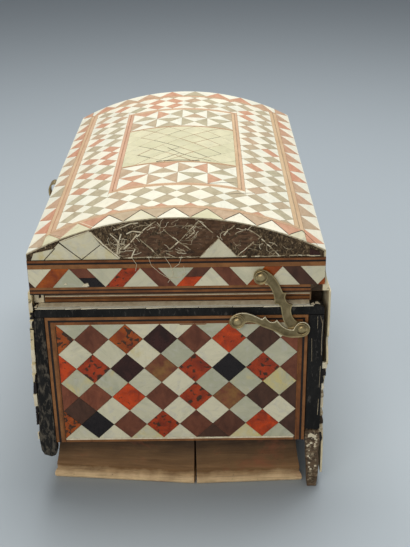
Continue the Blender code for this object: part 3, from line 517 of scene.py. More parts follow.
def lay(sheet, points, finish, tone=None, stain=0.0):
    """A flat tile with its corners given anticlockwise."""
    face = sheet.faces.new([sheet.verts.new((u, v, 0.0)) for u, v in points])
    face.material_index = finish
    layers = sheet.faces.layers.float
    face[layers["tone"]] = dice.random() if tone is None else tone
    face[layers["stain"]] = stain
    face[layers["turn"]] = dice.random()
    face[sheet.faces.layers.int["patch"]] = patch[0]
    return face


def seam(sheet, points, width, finish):
    """A narrow line of short strips along points."""
    for first, second in zip(map(Vector, points), map(Vector, points[1:])):
        run = second - first
        across = Vector((-run.y, run.x)).normalized() * width / 2
        lay(sheet, [first - across, second - across, second + across, first + across], finish, 0.5)


def geometry(faces):
    """The faces with their edges and corners, each once and in a fixed order."""
    edges = dict.fromkeys(edge for face in faces for edge in face.edges)
    verts = dict.fromkeys(vert for face in faces for vert in face.verts)
    return [*faces, *edges, *verts]


def everything(sheet):
    return sheet.faces[:] + sheet.edges[:] + sheet.verts[:]


def cut(sheet, given, spot, normal, fine=0.01, clear=False):
    bmesh.ops.bisect_plane(sheet, geom=given, dist=fine, plane_co=spot, plane_no=normal, clear_outer=clear)


def rectangle(left, bottom, right, top):
    return [(left, bottom), (right, bottom), (right, top), (left, top)]


def remove(sheet, faces):
    bmesh.ops.delete(sheet, geom=faces, context="FACES")


def thicken(sheet):
    """Give every face a twin over it, with walls between; the twins' corners, still in place."""
    grown = bmesh.ops.extrude_face_region(sheet, geom=sheet.faces[:], use_keep_orig=True)
    return [item for item in grown["geom"] if isinstance(item, bmesh.types.BMVert)]


def trim(sheet, left, bottom, right, top, number=None):
    """Cut off what lies outside a rectangle, of the whole sheet or of one patch."""
    stamp = sheet.faces.layers.int["patch"]
    for spot, normal in (((left, 0, 0), (-1, 0, 0)), ((right, 0, 0), (1, 0, 0)),
                         ((0, bottom, 0), (0, -1, 0)), ((0, top, 0), (0, 1, 0))):
        given = geometry([face for face in sheet.faces if number in (None, face[stamp])])
        cut(sheet, given, spot, normal, clear=True)


def cut_window(sheet, left, bottom, right, top):
    """Cut a rectangular opening out of the sheet."""
    slack = 0.05

    def inside(face):
        us, vs, _ = zip(*(vert.co for vert in face.verts))
        return (min(us) < right - slack and max(us) > left + slack
                and min(vs) < top - slack and max(vs) > bottom + slack)

    for spot, normal in (((left, 0, 0), (1, 0, 0)), ((right, 0, 0), (1, 0, 0)),
                         ((0, bottom, 0), (0, 1, 0)), ((0, top, 0), (0, 1, 0))):
        cut(sheet, geometry([face for face in sheet.faces if inside(face)]), spot, normal)
    remove(sheet, [face for face in sheet.faces if inside(face)])


def slice_across(sheet, step, left, right):
    """Cut the tiles into short lengths, so that they can follow the vault."""
    u = left + step
    while u < right:
        cut(sheet, everything(sheet), (u, 0, 0), (1, 0, 0), 0.02)
        u += step


def cut_rows(sheet, first, step, count):
    """Cut the tiles at count levels, one step apart."""
    for row in range(count):
        cut(sheet, everything(sheet), (0, first + step * row, 0), (0, 1, 0))


def round_off(sheet, radius):
    """Cut a sheet on an end of the lid along the vault over it."""
    for degrees in range(-28, 29, 2):
        out = Vector((math.sin(math.radians(degrees)), math.cos(math.radians(degrees)), 0.0))
        cut(sheet, everything(sheet), Vector((0.0, ARCH_CENTRE, 0.0)) + out * radius, out, 0.005, True)


def raise_tiles(sheet, joint=JOINT, thickness=TILE, edge=TILE_EDGE, uneven=0.05, seat=0.0):
    """Open the joints, set each tile a little unevenly, thicken it and soften its upper edges."""
    if joint:
        ring = bmesh.ops.inset_individual(sheet, faces=sheet.faces[:], thickness=joint / 2)
        remove(sheet, ring["faces"])
    remove(sheet, [face for face in sheet.faces if face.calc_area() < CRUMB_AREA])
    for face in sheet.faces:
        middle = face.calc_center_median()
        lift = dice.uniform(-uneven, 0.0)
        reach = max((vert.co - middle).length for vert in face.verts)
        lean = Vector((dice.uniform(-uneven, uneven), dice.uniform(-uneven, uneven), 0.0))
        lean /= max(12.0, 2 * reach)
        for vert in face.verts:
            vert.co.z += seat + lift + (vert.co - middle).dot(lean)
    upper = thicken(sheet)
    bmesh.ops.translate(sheet, verts=upper, vec=(0.0, 0.0, thickness))
    upper = set(upper)
    bmesh.ops.recalc_face_normals(sheet, faces=sheet.faces[:])
    rims = [line for line in sheet.edges if line.verts[0] in upper and line.verts[1] in upper]
    bmesh.ops.bevel(sheet, geom=rims, offset=edge, offset_type="OFFSET", segments=1, profile=0.5,
                    affect="EDGES", material=-1, clamp_overlap=True)


def wrap(sheet, where):
    for vert in sheet.verts:
        vert.co = where(*vert.co)


def new_object(name, data):
    made = bpy.data.objects.new(name, data)
    bpy.context.scene.collection.objects.link(made)
    return made


def finish_piece(name, sheet, body, materials=INLAY, replaces=(), smooth=35):
    """Make the sheet or solid a named object that rides on a body."""
    bmesh.ops.delete(sheet, geom=[vert for vert in sheet.verts if not vert.link_faces], context="VERTS")
    used = sorted({face.material_index for face in sheet.faces})
    marks = [sheet.faces.layers.float.get(mark) for mark in MARKS]
    colours = sheet.loops.layers.float_color.new("tile")
    for face in sheet.faces:
        face.material_index = used.index(face.material_index)
        values = [face[mark] if mark else 0.5 for mark in marks]
        for loop in face.loops:
            loop[colours] = (*values, 1.0)
    mesh = bpy.data.meshes.new(name)
    sheet.to_mesh(mesh)
    sheet.free()
    for index in used:
        mesh.materials.append(materials[index])
    mesh.shade_smooth()
    mesh.set_sharp_from_angle(angle=math.radians(smooth))
    piece = new_object(name, mesh)
    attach(piece, body)
    if replaces:
        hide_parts(*replaces)


def settle(name, sheet, where, body, slot, *raised, rounded=0.0, sliced=()):
    """Raise a sheet's tiles, wrap it on to the box and make it one piece."""
    raise_tiles(sheet, *raised)
    if rounded:
        round_off(sheet, rounded)
    if sliced:
        slice_across(sheet, *sliced)
    wrap(sheet, where)
    finish_piece(name, sheet, body)


# Patterns. A dark lozenge's letter says what it is made of: (finish, tone, stain)
LETTERS = {
    "o": (RED, 0.05, 0.85), "b": (RED, 0.55, 0.62), "r": (RED, 0.95, 0.15), "a": (RED, 0.0, -0.6),
    "e": (MAROON, 0.95, 0.0), "m": (MAROON, 0.62, 0.0), "n": (MAROON, 0.32, 0.1), "d": (MAROON, 0.08, 0.0),
    "g": (MAROON, 0.8, 0.55), "k": (BLACK, 0.8, 0.0), "x": (BLACK, 0.05, 0.0),
}
NEAR_ROWS = ("omokmrde", "rbkgbxbm", "eermbgdd", "oxmbmnrd")


def dark(sheet, points, letter):
    finish, tone, stain = LETTERS[letter]
    return lay(sheet, points, finish, tone, stain)


def lozenge(u, v, half_u, half_v):
    return [(u, v - half_v), (u + half_u, v), (u, v + half_v), (u - half_u, v)]


def field_lozenge(field, columns, rows, i, j):
    """The lozenge i half columns and j half rows from the field's corner."""
    left, bottom, right, top = field
    half_u = (right - left) / columns / 2
    half_v = (top - bottom) / rows / 2
    return lozenge(left + i * half_u, bottom + j * half_v, half_u, half_v)


def lozenge_field(sheet, field, columns, rows, letter_at, stain_at=None, lost=()):
    """Pale and dark lozenges turn about; letter_at(column, row) names each dark one."""
    number = new_patch()
    for i in range(2 * columns + 1):
        for j in range(2 * rows + 1):
            if (i + j) % 2 == 0 or (i, j) in lost:
                continue
            points = field_lozenge(field, columns, rows, i, j)
            if i % 2 == 0:
                dark(sheet, points, letter_at(i // 2, rows - 1 - j // 2))
            else:
                stain = stain_at.get((i, j), 0.0) if stain_at else dice.choice((0.0, 0.0, 0.2, 0.5))
                lay(sheet, points, PEARL, None, stain)
    trim(sheet, *field, number)


FRAME_WIDTHS = (2.1, 1.6, 2.2)
FRAME = sum(FRAME_WIDTHS)


def random_letter(column, row):
    return dice.choice("obremmnndkxg")


def lay_mitred(sheet, outer, inner, finish, sides="BTLR"):
    """The strips between two rectangles, with mitred corners."""
    left, bottom, right, top = outer
    in_left, in_bottom, in_right, in_top = inner
    quads = {
        "B": [(left, bottom), (right, bottom), (in_right, in_bottom), (in_left, in_bottom)],
        "T": [(in_left, in_top), (in_right, in_top), (right, top), (left, top)],
        "L": [(left, bottom), (in_left, in_bottom), (in_left, in_top), (left, top)],
        "R": [(in_right, in_bottom), (right, bottom), (right, top), (in_right, in_top)],
    }
    for side in sides:
        lay(sheet, quads[side], finish)


def frame_strips(sheet, outer, sides="LTRB", widths=FRAME_WIDTHS, finishes=(STRING, DARK_STRING, STRING)):
    """Strips around a rectangle with mitred corners, from outside in."""
    for width, finish in zip(widths, finishes):
        left, bottom, right, top = outer
        inner = (left + width, bottom + width * ("B" in sides), right - width, top - width)
        lay_mitred(sheet, outer, inner, finish, sides)
        outer = inner


def straight_strips(sheet, left, right, bottom, strips):
    """Strips one over another: (width, finish)."""
    for width, finish in strips:
        lay(sheet, rectangle(left, bottom, right, bottom + width), finish)
        bottom += width


def zigzag(sheet, left, right, start):
    """Pale triangles point down and up in turn, with a slanting slat of two pieces between them."""
    bottom, top = ZIGZAG_BOTTOM, ZIGZAG_TOP
    number = new_patch()
    half = ZIGZAG_PITCH / 2
    for index in range(-1, int((right - start) / ZIGZAG_PITCH) + 2):
        tip = start + index * ZIGZAG_PITCH
        near, away = (bottom, top) if index % 2 == 0 else (top, bottom)
        triangle = [(tip, near), (tip + half, away), (tip - half, away)]
        lay(sheet, triangle if near < away else triangle[::-1], PEARL, None, dice.choice((0.0, 0.1, 0.3)))
        upper, lower = SLATS[index % len(SLATS)]
        middle = (near + away) / 2
        for low, high in ((near, middle), (middle, away)) if upper != lower else ((near, away),):
            first, second = (tip + half * (value - near) / (away - near) for value in (low, high))
            quad = [(first, low), (first + half, low), (second + half, high), (second, high)]
            letter = upper if (low + high) / 2 > middle else lower
            dark(sheet, quad if near < away else quad[::-1], letter)
    trim(sheet, left, bottom, right, top, number)


LOWER_STRIPS = ((0.9, DARK_STRING), (1.8, STRING), (1.0, DARK_STRING), (1.9, STRING))
UPPER_STRIPS = ((3.2, STRING), (1.4, DARK_STRING), (1.6, STRING))
SLATS = ("aa", "mx", "bb", "mm", "nr", "mm", "aa", "dd")


# Near end: framed lozenges
sheet = new_sheet()
STAINS = {(1, 4): 0.5, (13, 4): 0.6, (5, 6): 0.42, (5, 0): 0.55, (11, 0): 0.6, (11, 4): 0.4, (3, 4): 0.4,
          (9, 2): 0.35}
LOST = ((1, 2), (9, 0))
lozenge_field(sheet, NEAR_FIELD, COLUMNS, ROWS, lambda column, row: NEAR_ROWS[row][column], STAINS, LOST)
settle("lozenges_near_end", sheet, near_end(PANEL_FACE), "box", "marquetry")

sheet = new_sheet()
for i, j in LOST:
    dark(sheet, field_lozenge(NEAR_FIELD, COLUMNS, ROWS, i, j), "d")
trim(sheet, *NEAR_FIELD)
settle("bared_lozenges_near_end", sheet, near_end(PANEL_FACE), "box", "marquetry", 0.5, 0.16)

sheet = new_sheet()
frame_strips(sheet, (PANEL_LEFT, FIELD_BOTTOM - 3.3, PANEL_RIGHT - 0.1, PANEL_TOP - 0.1), "LTR",
             (*FRAME_WIDTHS, 1.0), (STRING, DARK_STRING, STRING, STRING))
straight_strips(sheet, FIELD_LEFT, FIELD_RIGHT - 1.0, PANEL_BOTTOM + 0.2, ((1.9, STRING), (1.3, BONE)))
settle("strips_near_end", sheet, near_end(PANEL_FACE), "box", "marquetry", 0.08, 0.4, 0.08, 0.03)

# Lid's near band
sheet = new_sheet()
zigzag(sheet, -LID_HALF + 0.1, LID_HALF - 0.1, ZIGZAG_START)
straight_strips(sheet, -LID_HALF + 0.3, LID_HALF - 9.8, LID_BOTTOM + 0.1, LOWER_STRIPS)
straight_strips(sheet, -LID_HALF + 0.1, LID_HALF - 0.1, ZIGZAG_TOP, UPPER_STRIPS)
settle("band_near", sheet, near_end(0.0), "lid", "marquetry", 0.18, 0.34, 0.08, 0.04)

# Lid's near edge above the band: rough mastic at the left and right, bared wood between
GABLE_RADIUS = ARCH_RADIUS - VENEER - 0.1
GABLE_CELL = 2.0
sheet = new_sheet()
left, bottom, right = -LID_HALF + 1.6, BAND_TOP + 0.1, LID_HALF - 1.6
lay(sheet, rectangle(left, bottom, right, LID_TOP), GABLE, 0.5)
slice_across(sheet, GABLE_CELL, left, right)
cut_rows(sheet, bottom + GABLE_CELL, GABLE_CELL, int((LID_TOP - bottom) / GABLE_CELL) - 1)
round_off(sheet, GABLE_RADIUS)
tone = sheet.faces.layers.float["tone"]
for face in sheet.faces:
    spot = face.calc_center_median()
    wood_share = 1.15 - abs(spot.x - 14) / 34 + 0.3 * noise.noise((spot.x / 7, spot.y / 7, 0))
    face[tone] = max(0.0, min(1.0, wood_share))
for vert in thicken(sheet):
    bump = noise.fractal((vert.co.x / 3, vert.co.y / 2, 3.1), 0.8, 2.0, 3)
    vert.co.z += 0.12 + 0.5 * max(0.0, 0.5 + bump)
bmesh.ops.recalc_face_normals(sheet, faces=sheet.faces[:])
wrap(sheet, near_end(GABLE_FACE))
finish_piece("gable_bared_ground", sheet, "lid", smooth=60)

# What is left of the gable's covering
sheet = new_sheet()
for points in ([(-99, 194.5), (-90, 194.5), (-82, 203), (-97, 199.5)],
               [(-90, 194.5), (-64.5, 194.5), (-79, 207.5), (-82, 204)],
               [(-78.5, 207.5), (-64.5, 194.5), (-51, 205.5), (-57.8, 215)],
               [(-64.5, 194.5), (-38.5, 194.5), (-51, 205.5)], [(16, 195), (42, 195), (29, 208.6)]):
    lay(sheet, points, PEARL, 0.7, 0.45)
settle("shell_left_on_gable", sheet, near_end(GABLE_FACE), "lid", "marquetry",
       0.9, 1.1, 0.12, 0.15, rounded=GABLE_RADIUS)

sheet = new_sheet()
for u, v in ((-14, 211.5), (16, 211.5), (46, 209), (1, 199), (-1, 221), (31, 221), (-28, 199)):
    lay(sheet, lozenge(u, v, 12.4, 12.2), BARED, dice.random())
trim(sheet, -38, 195.2, 74, LID_TOP)
round_off(sheet, GABLE_RADIUS)
settle("thin_lozenges_on_gable", sheet, near_end(GABLE_FACE), "lid", "marquetry", 0.9, 0.55, 0.12, 0.1)

sheet = new_sheet()
GLUE_LINES = (
    [(-57, 215), (-50, 207), (-38, 195.3)], [(-24, 209), (-17, 202), (-11, 195.3)],
    [(-36, 195.4), (-20, 195.7), (-4, 195.2), (16, 195.6)],
    [(42, 195.5), (60, 195.2), (80, 195.7), (98, 195.3)], [(29, 208.6), (16, 195.2)],
    [(29, 208.6), (42, 195.2)], [(30, 209), (35, 214.5), (40, 218)],
    [(41.6, 195.7), (51, 204), (58, 210)], [(10, 201), (2, 207), (-5, 200.5)],
    [(2, 207), (9, 214), (16, 222)], [(2, 207), (-6, 214), (-12, 221)], [(30, 209), (23, 215), (16, 222)],
    [(-26, 211), (-20, 217), (-13, 222)], [(57, 210), (50, 215)], [(58, 208), (66, 200.5), (70, 196)])
for points in GLUE_LINES:
    for (u, v), (far_u, far_v) in zip(points, points[1:]):
        steps = max(2, round(math.hypot(far_u - u, far_v - v) / 3))
        run = [(u + (far_u - u) * k / steps + dice.uniform(-0.3, 0.3),
                v + (far_v - v) * k / steps + dice.uniform(-0.15, 0.3)) for k in range(steps + 1)]
        for pair in zip(run, run[1:]):
            if dice.random() < 0.9:
                seam(sheet, pair, dice.uniform(0.35, 0.75), dice.choice((GLUE, GLUE, BONE)))
lay(sheet, [(91, 196), (98.5, 195.6), (97.5, 198), (91, 201)], BLACK)
for points in ([(-90, 194.6), (-82, 203.3)], [(-79, 207.2), (-64.5, 194.6)],
               [(-64.5, 194.6), (-51.2, 205.3)], [(-81, 206), (-79, 207.6)]):
    seam(sheet, points, 0.55, MASTIC_LINE)
seam(sheet, [(-57.4, 214.8), (-50.4, 206.8), (-38.4, 195.3)], 0.8, BONE)
seam(sheet, [(-78.5, 208.0), (-68, 212), (-58, 215.4)], 0.7, BONE)
settle("glue_lines_on_gable", sheet, near_end(GABLE_FACE), "lid", "marquetry",
       0.05, 1.18, 0.05, 0.06, rounded=GABLE_RADIUS)

# Tangled plant fibres caught in the mastic
sheet = new_sheet()
TANGLES = ((-37, 204, 10, 7, 46), (-2, 199, 8, 3, 8), (60, 201, 14, 4, 12), (-14, 219, 18, 3, 20),
           (12, 213, 3, 13, 22), (44, 214, 16, 3, 8))
for patch_u, patch_v, spread_u, spread_v, count in TANGLES:
    for _ in range(count):
        u, v = dice.gauss(patch_u, spread_u / 2), dice.gauss(patch_v, spread_v / 2)
        way = dice.uniform(0, 2 * math.pi)
        points = [(u, v)]
        for _ in range(4):
            way += dice.uniform(-0.7, 0.7)
            u, v = u + 1.7 * math.cos(way), v + 1.3 * math.sin(way)
            points.append((u, v))
        seam(sheet, points, dice.uniform(0.18, 0.4), dice.choice((BONE, GLUE, GLUE)))
for points in ([(-35.5, 201.9), (-31, 206), (-25.9, 212.5)], [(-40, 198.6), (-39, 206), (-36.6, 213.1)],
               [(-30.4, 195.5), (-29.5, 198), (-27.6, 201.9)], [(-35.5, 218), (-30, 220.5), (-24.7, 221)],
               [(-44, 213), (-40, 209), (-38, 204)], [(-33, 213), (-29, 215), (-22, 214)]):
    seam(sheet, points, dice.uniform(0.6, 0.9), BONE)
remove(sheet, [face for face in sheet.faces if min(vert.co.y for vert in face.verts) < BAND_TOP + 0.4])
round_off(sheet, GABLE_RADIUS)
settle("fibres_on_gable", sheet, near_end(GABLE_FACE), "lid", "dark_ground", 0.0, 0.8, 0.03, 0.4, 0.2)

# Threads hanging from the gable over the band, and crumbs left on it
sheet = new_sheet()
for points in ([(-19, 197), (-17, 190), (-11, 184), (-5, 180), (2, 180.5), (6, 184), (5, 189)],
               [(-8, 197), (-4, 190), (-2, 183), (-6, 177)], [(4, 197), (2, 191), (-3, 187), (-10, 188)],
               [(-30, 196), (-27, 191), (-28, 186)]):
    seam(sheet, points, 0.22, BONE)
for points in ([(-65.5, 174.6), (-60.5, 174.8), (-61.2, 177.2), (-64, 176.6)],
               [(-78, 176), (-75.5, 176.4), (-76.4, 177.6)]):
    lay(sheet, points, BONE)
settle("threads_over_band", sheet, near_end(0.0), "lid", "bone_edge", 0.0, 0.35, 0.04, 0.1, 0.45)

# Lid top: pale shell squares on tip between thin slats, all round a plain middle; the shell, slats and
# strings are paled with painted sheen
TOP_GROUND = -0.5
FIELD = (-86.3, 21.0, 84.3, 307.0)
RING = (-51.0, 61.0, 50.0, 267.0)
MIDDLE = (-45.4, 66.3, 44.6, 261.7)
GRID_START = 43.0
HALF_GRID = 17.0
GRID_ALONG = 17.29
SLAT = 4.8
PLAIN_BOTTOM, PLAIN_TOP = 115.4, 207.8
PLAIN_CENTRE, PLAIN_HALF = -0.4, 11.55
CELL = (MIDDLE[2] - MIDDLE[0]) / 4
LID_LEFT, LID_RIGHT = -93.6, 91.4
NEAR_BORDER, FAR_BORDER = 17.0, 311.0
BORDER_RUN = (-104.0, 104.0, 22.6, 12.7)
SIDE_RUN = (0.0, LENGTH, 24.2, 9.5)


def frame_ring(sheet, outer, inner, shares):
    """Mitred strips between two rectangles; shares are where each strip ends, from outside in."""
    start = 0.0
    for share, finish in zip(shares, (STRING_WITH_SHEEN, SLAT_WITH_SHEEN, STRING_WITH_SHEEN)):
        edges = ([o + (i - o) * part for o, i in zip(outer, inner)] for part in (start, share))
        lay_mitred(sheet, *edges, finish)
        start = share


def squares_and_slats(sheet, reach):
    """Squares on tip in a grid of crossing slats, small squares at the crossings."""
    wide = HALF_GRID * math.sqrt(2)
    parts = ((-SLAT, SLAT, -SLAT, SLAT, True), (SLAT, wide - SLAT, -SLAT, SLAT, False),
             (-SLAT, SLAT, SLAT, wide - SLAT, False), (SLAT, wide - SLAT, SLAT, wide - SLAT, True))
    for m in range(-reach, reach):
        for n in range(-reach, reach):
            for low_p, high_p, low_q, high_q, is_pale in parts:
                points = []
                for p, q in ((low_p, low_q), (high_p, low_q), (high_p, high_q), (low_p, high_q)):
                    p, q = p + m * wide, q + n * wide
                    points.append(((p - q) / math.sqrt(2),
                                   GRID_START + (p + q) / math.sqrt(2) * GRID_ALONG / HALF_GRID))
                if any(abs(u) < 100 and -5 < v < LENGTH + 5 for u, v in points):
                    tone = None if is_pale else dice.choice((0.0, 0.05, 0.1, 0.2, 0.35, 0.8))
                    lay(sheet, points, PEARL_WITH_SHEEN if is_pale else SLAT_WITH_SHEEN, tone, dice.choice((0, 0, 0, 0.3)))


def quartered(sheet, left, bottom, right, top, first_dark):
    """A cell divided by its diagonals, dark and pale turn about."""
    middle = ((left + right) / 2, (bottom + top) / 2)
    corners = rectangle(left, bottom, right, top)
    for k in range(4):
        is_dark = (k % 2 == 0) == first_dark
        tone = dice.choice((0.0, 0.05, 0.15, 0.3, 0.7))
        lay(sheet, [corners[k], corners[(k + 1) % 4], middle], SLAT_WITH_SHEEN if is_dark else PEARL_WITH_SHEEN, tone)


def middle_point(i, j):
    """A point of the lid's plain middle, i half cells across and j half lozenges along."""
    return PLAIN_CENTRE + i * CELL / 2, PLAIN_BOTTOM + j * PLAIN_HALF


def border_triangles(sheet, span_of_row, low, high, along_side=False, worn=False):
    """A row of triangles, pale and coloured turn about, between two lines."""
    start, stop, pitch, offset = span_of_row
    for k in range(-1, int((stop - start) / pitch) + 2):
        for shift, base, tip, is_pale in ((0.0, low, high, True), (0.5, high, low, False)):
            centre = start + offset + (k + shift) * pitch
            points = [(centre - pitch / 2, base), (centre + pitch / 2, base), (centre, tip)]
            if along_side:
                points = [(v, u) for u, v in points]
            area = sum(p[0] * q[1] - q[0] * p[1] for p, q in zip(points, points[1:] + points[:1]))
            if area < 0:
                points.reverse()
            tone = None if is_pale else dice.choice((0.05, 0.2, 0.35, 0.5, 0.8))
            pale = dice.choice((PEARL_WITH_SHEEN, PEARL_WITH_SHEEN, YELLOWED, PEARL)) if worn else PEARL_WITH_SHEEN
            lay(sheet, points, pale if is_pale != along_side else SLAT_WITH_SHEEN, tone, dice.choice((0, 0.1, 0.3)))


sheet = new_sheet()
squares_and_slats(sheet, 14)
trim(sheet, *FIELD)
cut_window(sheet, *RING)
frame_ring(sheet, (LID_LEFT, NEAR_BORDER, LID_RIGHT, FAR_BORDER), FIELD, (0.44, 0.52, 1.0))
frame_ring(sheet, RING, MIDDLE, (0.45, 0.54, 1.0))
for base, height in ((MIDDLE[1], 22.9), (MIDDLE[1] + 22.9, 22.9), (210.9, 25.4), (236.3, 25.4)):
    for column in range(4):
        left = MIDDLE[0] + column * CELL
        odd = (column + (base in (MIDDLE[1], 236.3))) % 2 == 1
        quartered(sheet, left, base, left + CELL, base + height, odd)
for base, last in ((PLAIN_BOTTOM - 3.3, 1.4), (PLAIN_TOP, 1.2)):
    strips = ((1.2, STRING_WITH_SHEEN), (0.7, STRING), (last, STRING_WITH_SHEEN))
    straight_strips(sheet, MIDDLE[0], MIDDLE[2], base, strips)
number = new_patch()
for i in range(-5, 6):
    for j in range(-1, 10):
        if (i + j) % 2 == 0:
            points = lozenge(*middle_point(i, j), CELL / 2, PLAIN_HALF)
            lay(sheet, points, YELLOWED, None, dice.choice((0, 0.3)))
trim(sheet, MIDDLE[0], PLAIN_BOTTOM, MIDDLE[2], PLAIN_TOP, number)
number = new_patch()
border_triangles(sheet, BORDER_RUN, LENGTH - 0.3, FAR_BORDER + 0.5)
trim(sheet, LID_LEFT, -0.5, LID_RIGHT, LENGTH - 0.2, number)
for low, high in ((LID_LEFT, -ARC_HALF), (LID_RIGHT, ARC_HALF)):
    number = new_patch()
    border_triangles(sheet, SIDE_RUN, low, high, along_side=True)
    trim(sheet, min(low, high) + 0.2, 0.0, max(low, high) - 0.2, LENGTH - 0.2, number)
# Cracks run across whole tiles
for first_end, second_end in (((-10, 150), (0, 135)), ((0, 135), (10, 125)), ((10, 125), (25, 118)),
                              ((0, 135), (-15, 121)), ((22, 66), (42, 75)), ((35, 48), (57, 62)),
                              ((-70, 30), (-62, 48)), ((60, 110), (78, 122))):
    run = Vector(second_end) - Vector(first_end)
    middle = (Vector(first_end) + Vector(second_end)) / 2
    reach = run.length / 2 + 3
    near = [face for face in sheet.faces if (face.calc_center_median().xy - middle).length < reach]
    cut(sheet, geometry(near), (*first_end, 0), (-run.y, run.x, 0))
settle("lid_top_tiles", sheet, vault, "lid", "pearl",
       0.36, 0.45, 0.1, 0.05, TOP_GROUND, sliced=VAULT_SLICES)

# Loose, cracked triangles along the near edge
sheet = new_sheet()
border_triangles(sheet, BORDER_RUN, -0.5, NEAR_BORDER - 0.1, worn=True)
trim(sheet, LID_LEFT, -0.5, LID_RIGHT, NEAR_BORDER)
settle("lid_near_border", sheet, vault, "lid", "pearl",
       0.5, 0.4, 0.12, 0.1, TOP_GROUND, sliced=VAULT_SLICES)

sheet = new_sheet()
for points, width, finish in (
        ([(-10, 150), (-6, 143), (0, 135)], 0.5, MASTIC_LINE),
        ([(0, 135), (10, 125), (25, 118)], 0.6, MASTIC_LINE),
        ([(0, 135), (-8, 127), (-15, 121)], 0.5, MASTIC_LINE),
        ([(-18, 116.6), (-6, 117.3), (6, 117.2), (16, 116.2)], 1.5, MASTIC_LINE),
        ([(22, 66), (32, 71), (42, 75)], 0.5, MASTIC_LINE),
        ([(35, 48), (46, 55), (57, 62)], 0.5, MASTIC_LINE),
        ([(-67, 17), (-56, 1)], 0.5, BONE), ([(-90, 16), (-79, 2)], 0.4, GLUE)):
    seam(sheet, points, width, finish)
# Dirty joints of the lid's middle field, and round the triangles of the near border
for i in range(-4, 6):
    for j in range(0, 9):
        for rise in (-1, 1):
            points = [middle_point(i - 1, j), middle_point(i, j + rise)]
            inside = all(MIDDLE[0] < u < MIDDLE[2] and PLAIN_BOTTOM - 0.1 < v < PLAIN_TOP + 0.1
                         for u, v in points)
            if (i + j) % 2 == 0 and inside:
                seam(sheet, points, dice.uniform(0.25, 0.6), dice.choice((STRING, STRING, GLUE, MASTIC_LINE)))
for k in range(7):
    tip = -46.1 + BORDER_RUN[2] * k + dice.uniform(-0.2, 0.2)
    points = [(tip - 10.5, 0.8), (tip - 5.4, 8.5), (tip, 16.6), (tip + 5.4, 8.5), (tip + 10.5, 0.8)]
    seam(sheet, points, dice.uniform(0.4, 0.7), MASTIC_LINE)
settle("lid_top_cracks", sheet, vault, "lid", "pearl",
       0.0, 0.09, 0.02, 0.0, -0.1, sliced=VAULT_SLICES)

sheet = new_sheet()
lay(sheet, rectangle(-ARC_HALF, -0.6, ARC_HALF, LENGTH - 0.1), GLUE)
slice_across(sheet, 3.0, -ARC_HALF, ARC_HALF)
for vert in sheet.verts:
    if vert.co.y < 0:
        vert.co.y += 0.5 * max(0.0, noise.noise((vert.co.x / 4, 7.0, 0.0)) + 0.2)
    vert.co.z = -VENEER
for vert in thicken(sheet):
    vert.co.z = TOP_GROUND
bmesh.ops.recalc_face_normals(sheet, faces=sheet.faces[:])
wrap(sheet, vault)
finish_piece("lid_top_ground", sheet, "lid", replaces=["lid_top_veneer"])

# Lid's side bands and far end
sheet = new_sheet()
left, right = 1.8, LENGTH - 1.8
zigzag(sheet, left, right, 8.0)
straight_strips(sheet, left, right, LID_BOTTOM + 0.1, LOWER_STRIPS)
straight_strips(sheet, left, right, ZIGZAG_TOP, (*UPPER_STRIPS, (3.4, PEARL)))
settle("band_front", sheet, lid_front, "lid", "marquetry", 0.18, 0.34, 0.08, 0.04)

FAR_FACE = LENGTH - VENEER
FAR_GROUND = 0.7
FAR_HALF = 13.25
sheet = new_sheet()
lay(sheet, rectangle(-LID_HALF, LID_BOTTOM, LID_HALF, LID_TOP), GLUE)
round_off(sheet, ARCH_RADIUS - VENEER - VENEER_GAP)
for vert in thicken(sheet):
    vert.co.z = FAR_GROUND
bmesh.ops.recalc_face_normals(sheet, faces=sheet.faces[:])
wrap(sheet, far_end(FAR_FACE))
finish_piece("far_gable_ground", sheet, "lid", replaces=["lid_facing_far"])

sheet = new_sheet()
zigzag(sheet, -LID_HALF + 0.1, LID_HALF - 0.1, ZIGZAG_START)
straight_strips(sheet, -LID_HALF + 0.1, LID_HALF - 0.1, LID_BOTTOM + 0.1, LOWER_STRIPS)
straight_strips(sheet, -LID_HALF + 0.1, LID_HALF - 0.1, ZIGZAG_TOP, UPPER_STRIPS)
number = new_patch()
for i in range(-8, 9):
    for j in range(0, 4):
        if (i + j) % 2:
            continue
        points = lozenge(i * FAR_HALF, 195.0 + j * FAR_HALF, FAR_HALF, FAR_HALF)
        if j % 2:
            dark(sheet, points, random_letter(i, j))
        else:
            lay(sheet, points, PEARL, None, dice.choice((0, 0.3)))
trim(sheet, -LID_HALF, BAND_TOP + 0.1, LID_HALF, LID_TOP, number)
round_off(sheet, ARCH_RADIUS - VENEER - VENEER_GAP)
settle("far_gable_tiles", sheet, far_end(FAR_FACE), "lid", "marquetry", 0.25, 0.42, 0.1, 0.04, FAR_GROUND)

# Far end of the body
FAR_PANEL = span("end_panel_far")
sheet = new_sheet()
left, right = -FAR_PANEL[1][0] + 0.2, -FAR_PANEL[0][0] - 0.2
bottom, top = FAR_PANEL[0][2] + 0.2, FAR_PANEL[1][2] - 0.2
frame_strips(sheet, (left, bottom, right, top))
lozenge_field(sheet, (left + FRAME, bottom + FRAME, right - FRAME, top - FRAME), 7, 4, random_letter)
settle("lozenges_far_end", sheet, far_end(FAR_PANEL[1][1]), "box", "marquetry")

# Front side of the body: framed lozenges on the sprung skin, back from its broken edge
sheet = new_sheet()
LOSS = 17.0
left, bottom, right, top = 1.0, 45.0, LENGTH - LOSS, BODY_TOP - 1.0
frame_strips(sheet, (left, bottom, right, top), "LTB")
lozenge_field(sheet, (left + FRAME, bottom + FRAME, right, top - FRAME), 12, 5, random_letter)
near_tiles = [face for face in sheet.faces if face.calc_center_median().x > LENGTH - LOSS - 26]
remove(sheet, [face for face in near_tiles if dice.random() < 0.35])
settle("lozenges_front_side", sheet, front_skin, "box", "marquetry",
       sliced=(8.0, LENGTH - SPREAD_LENGTH, LENGTH))

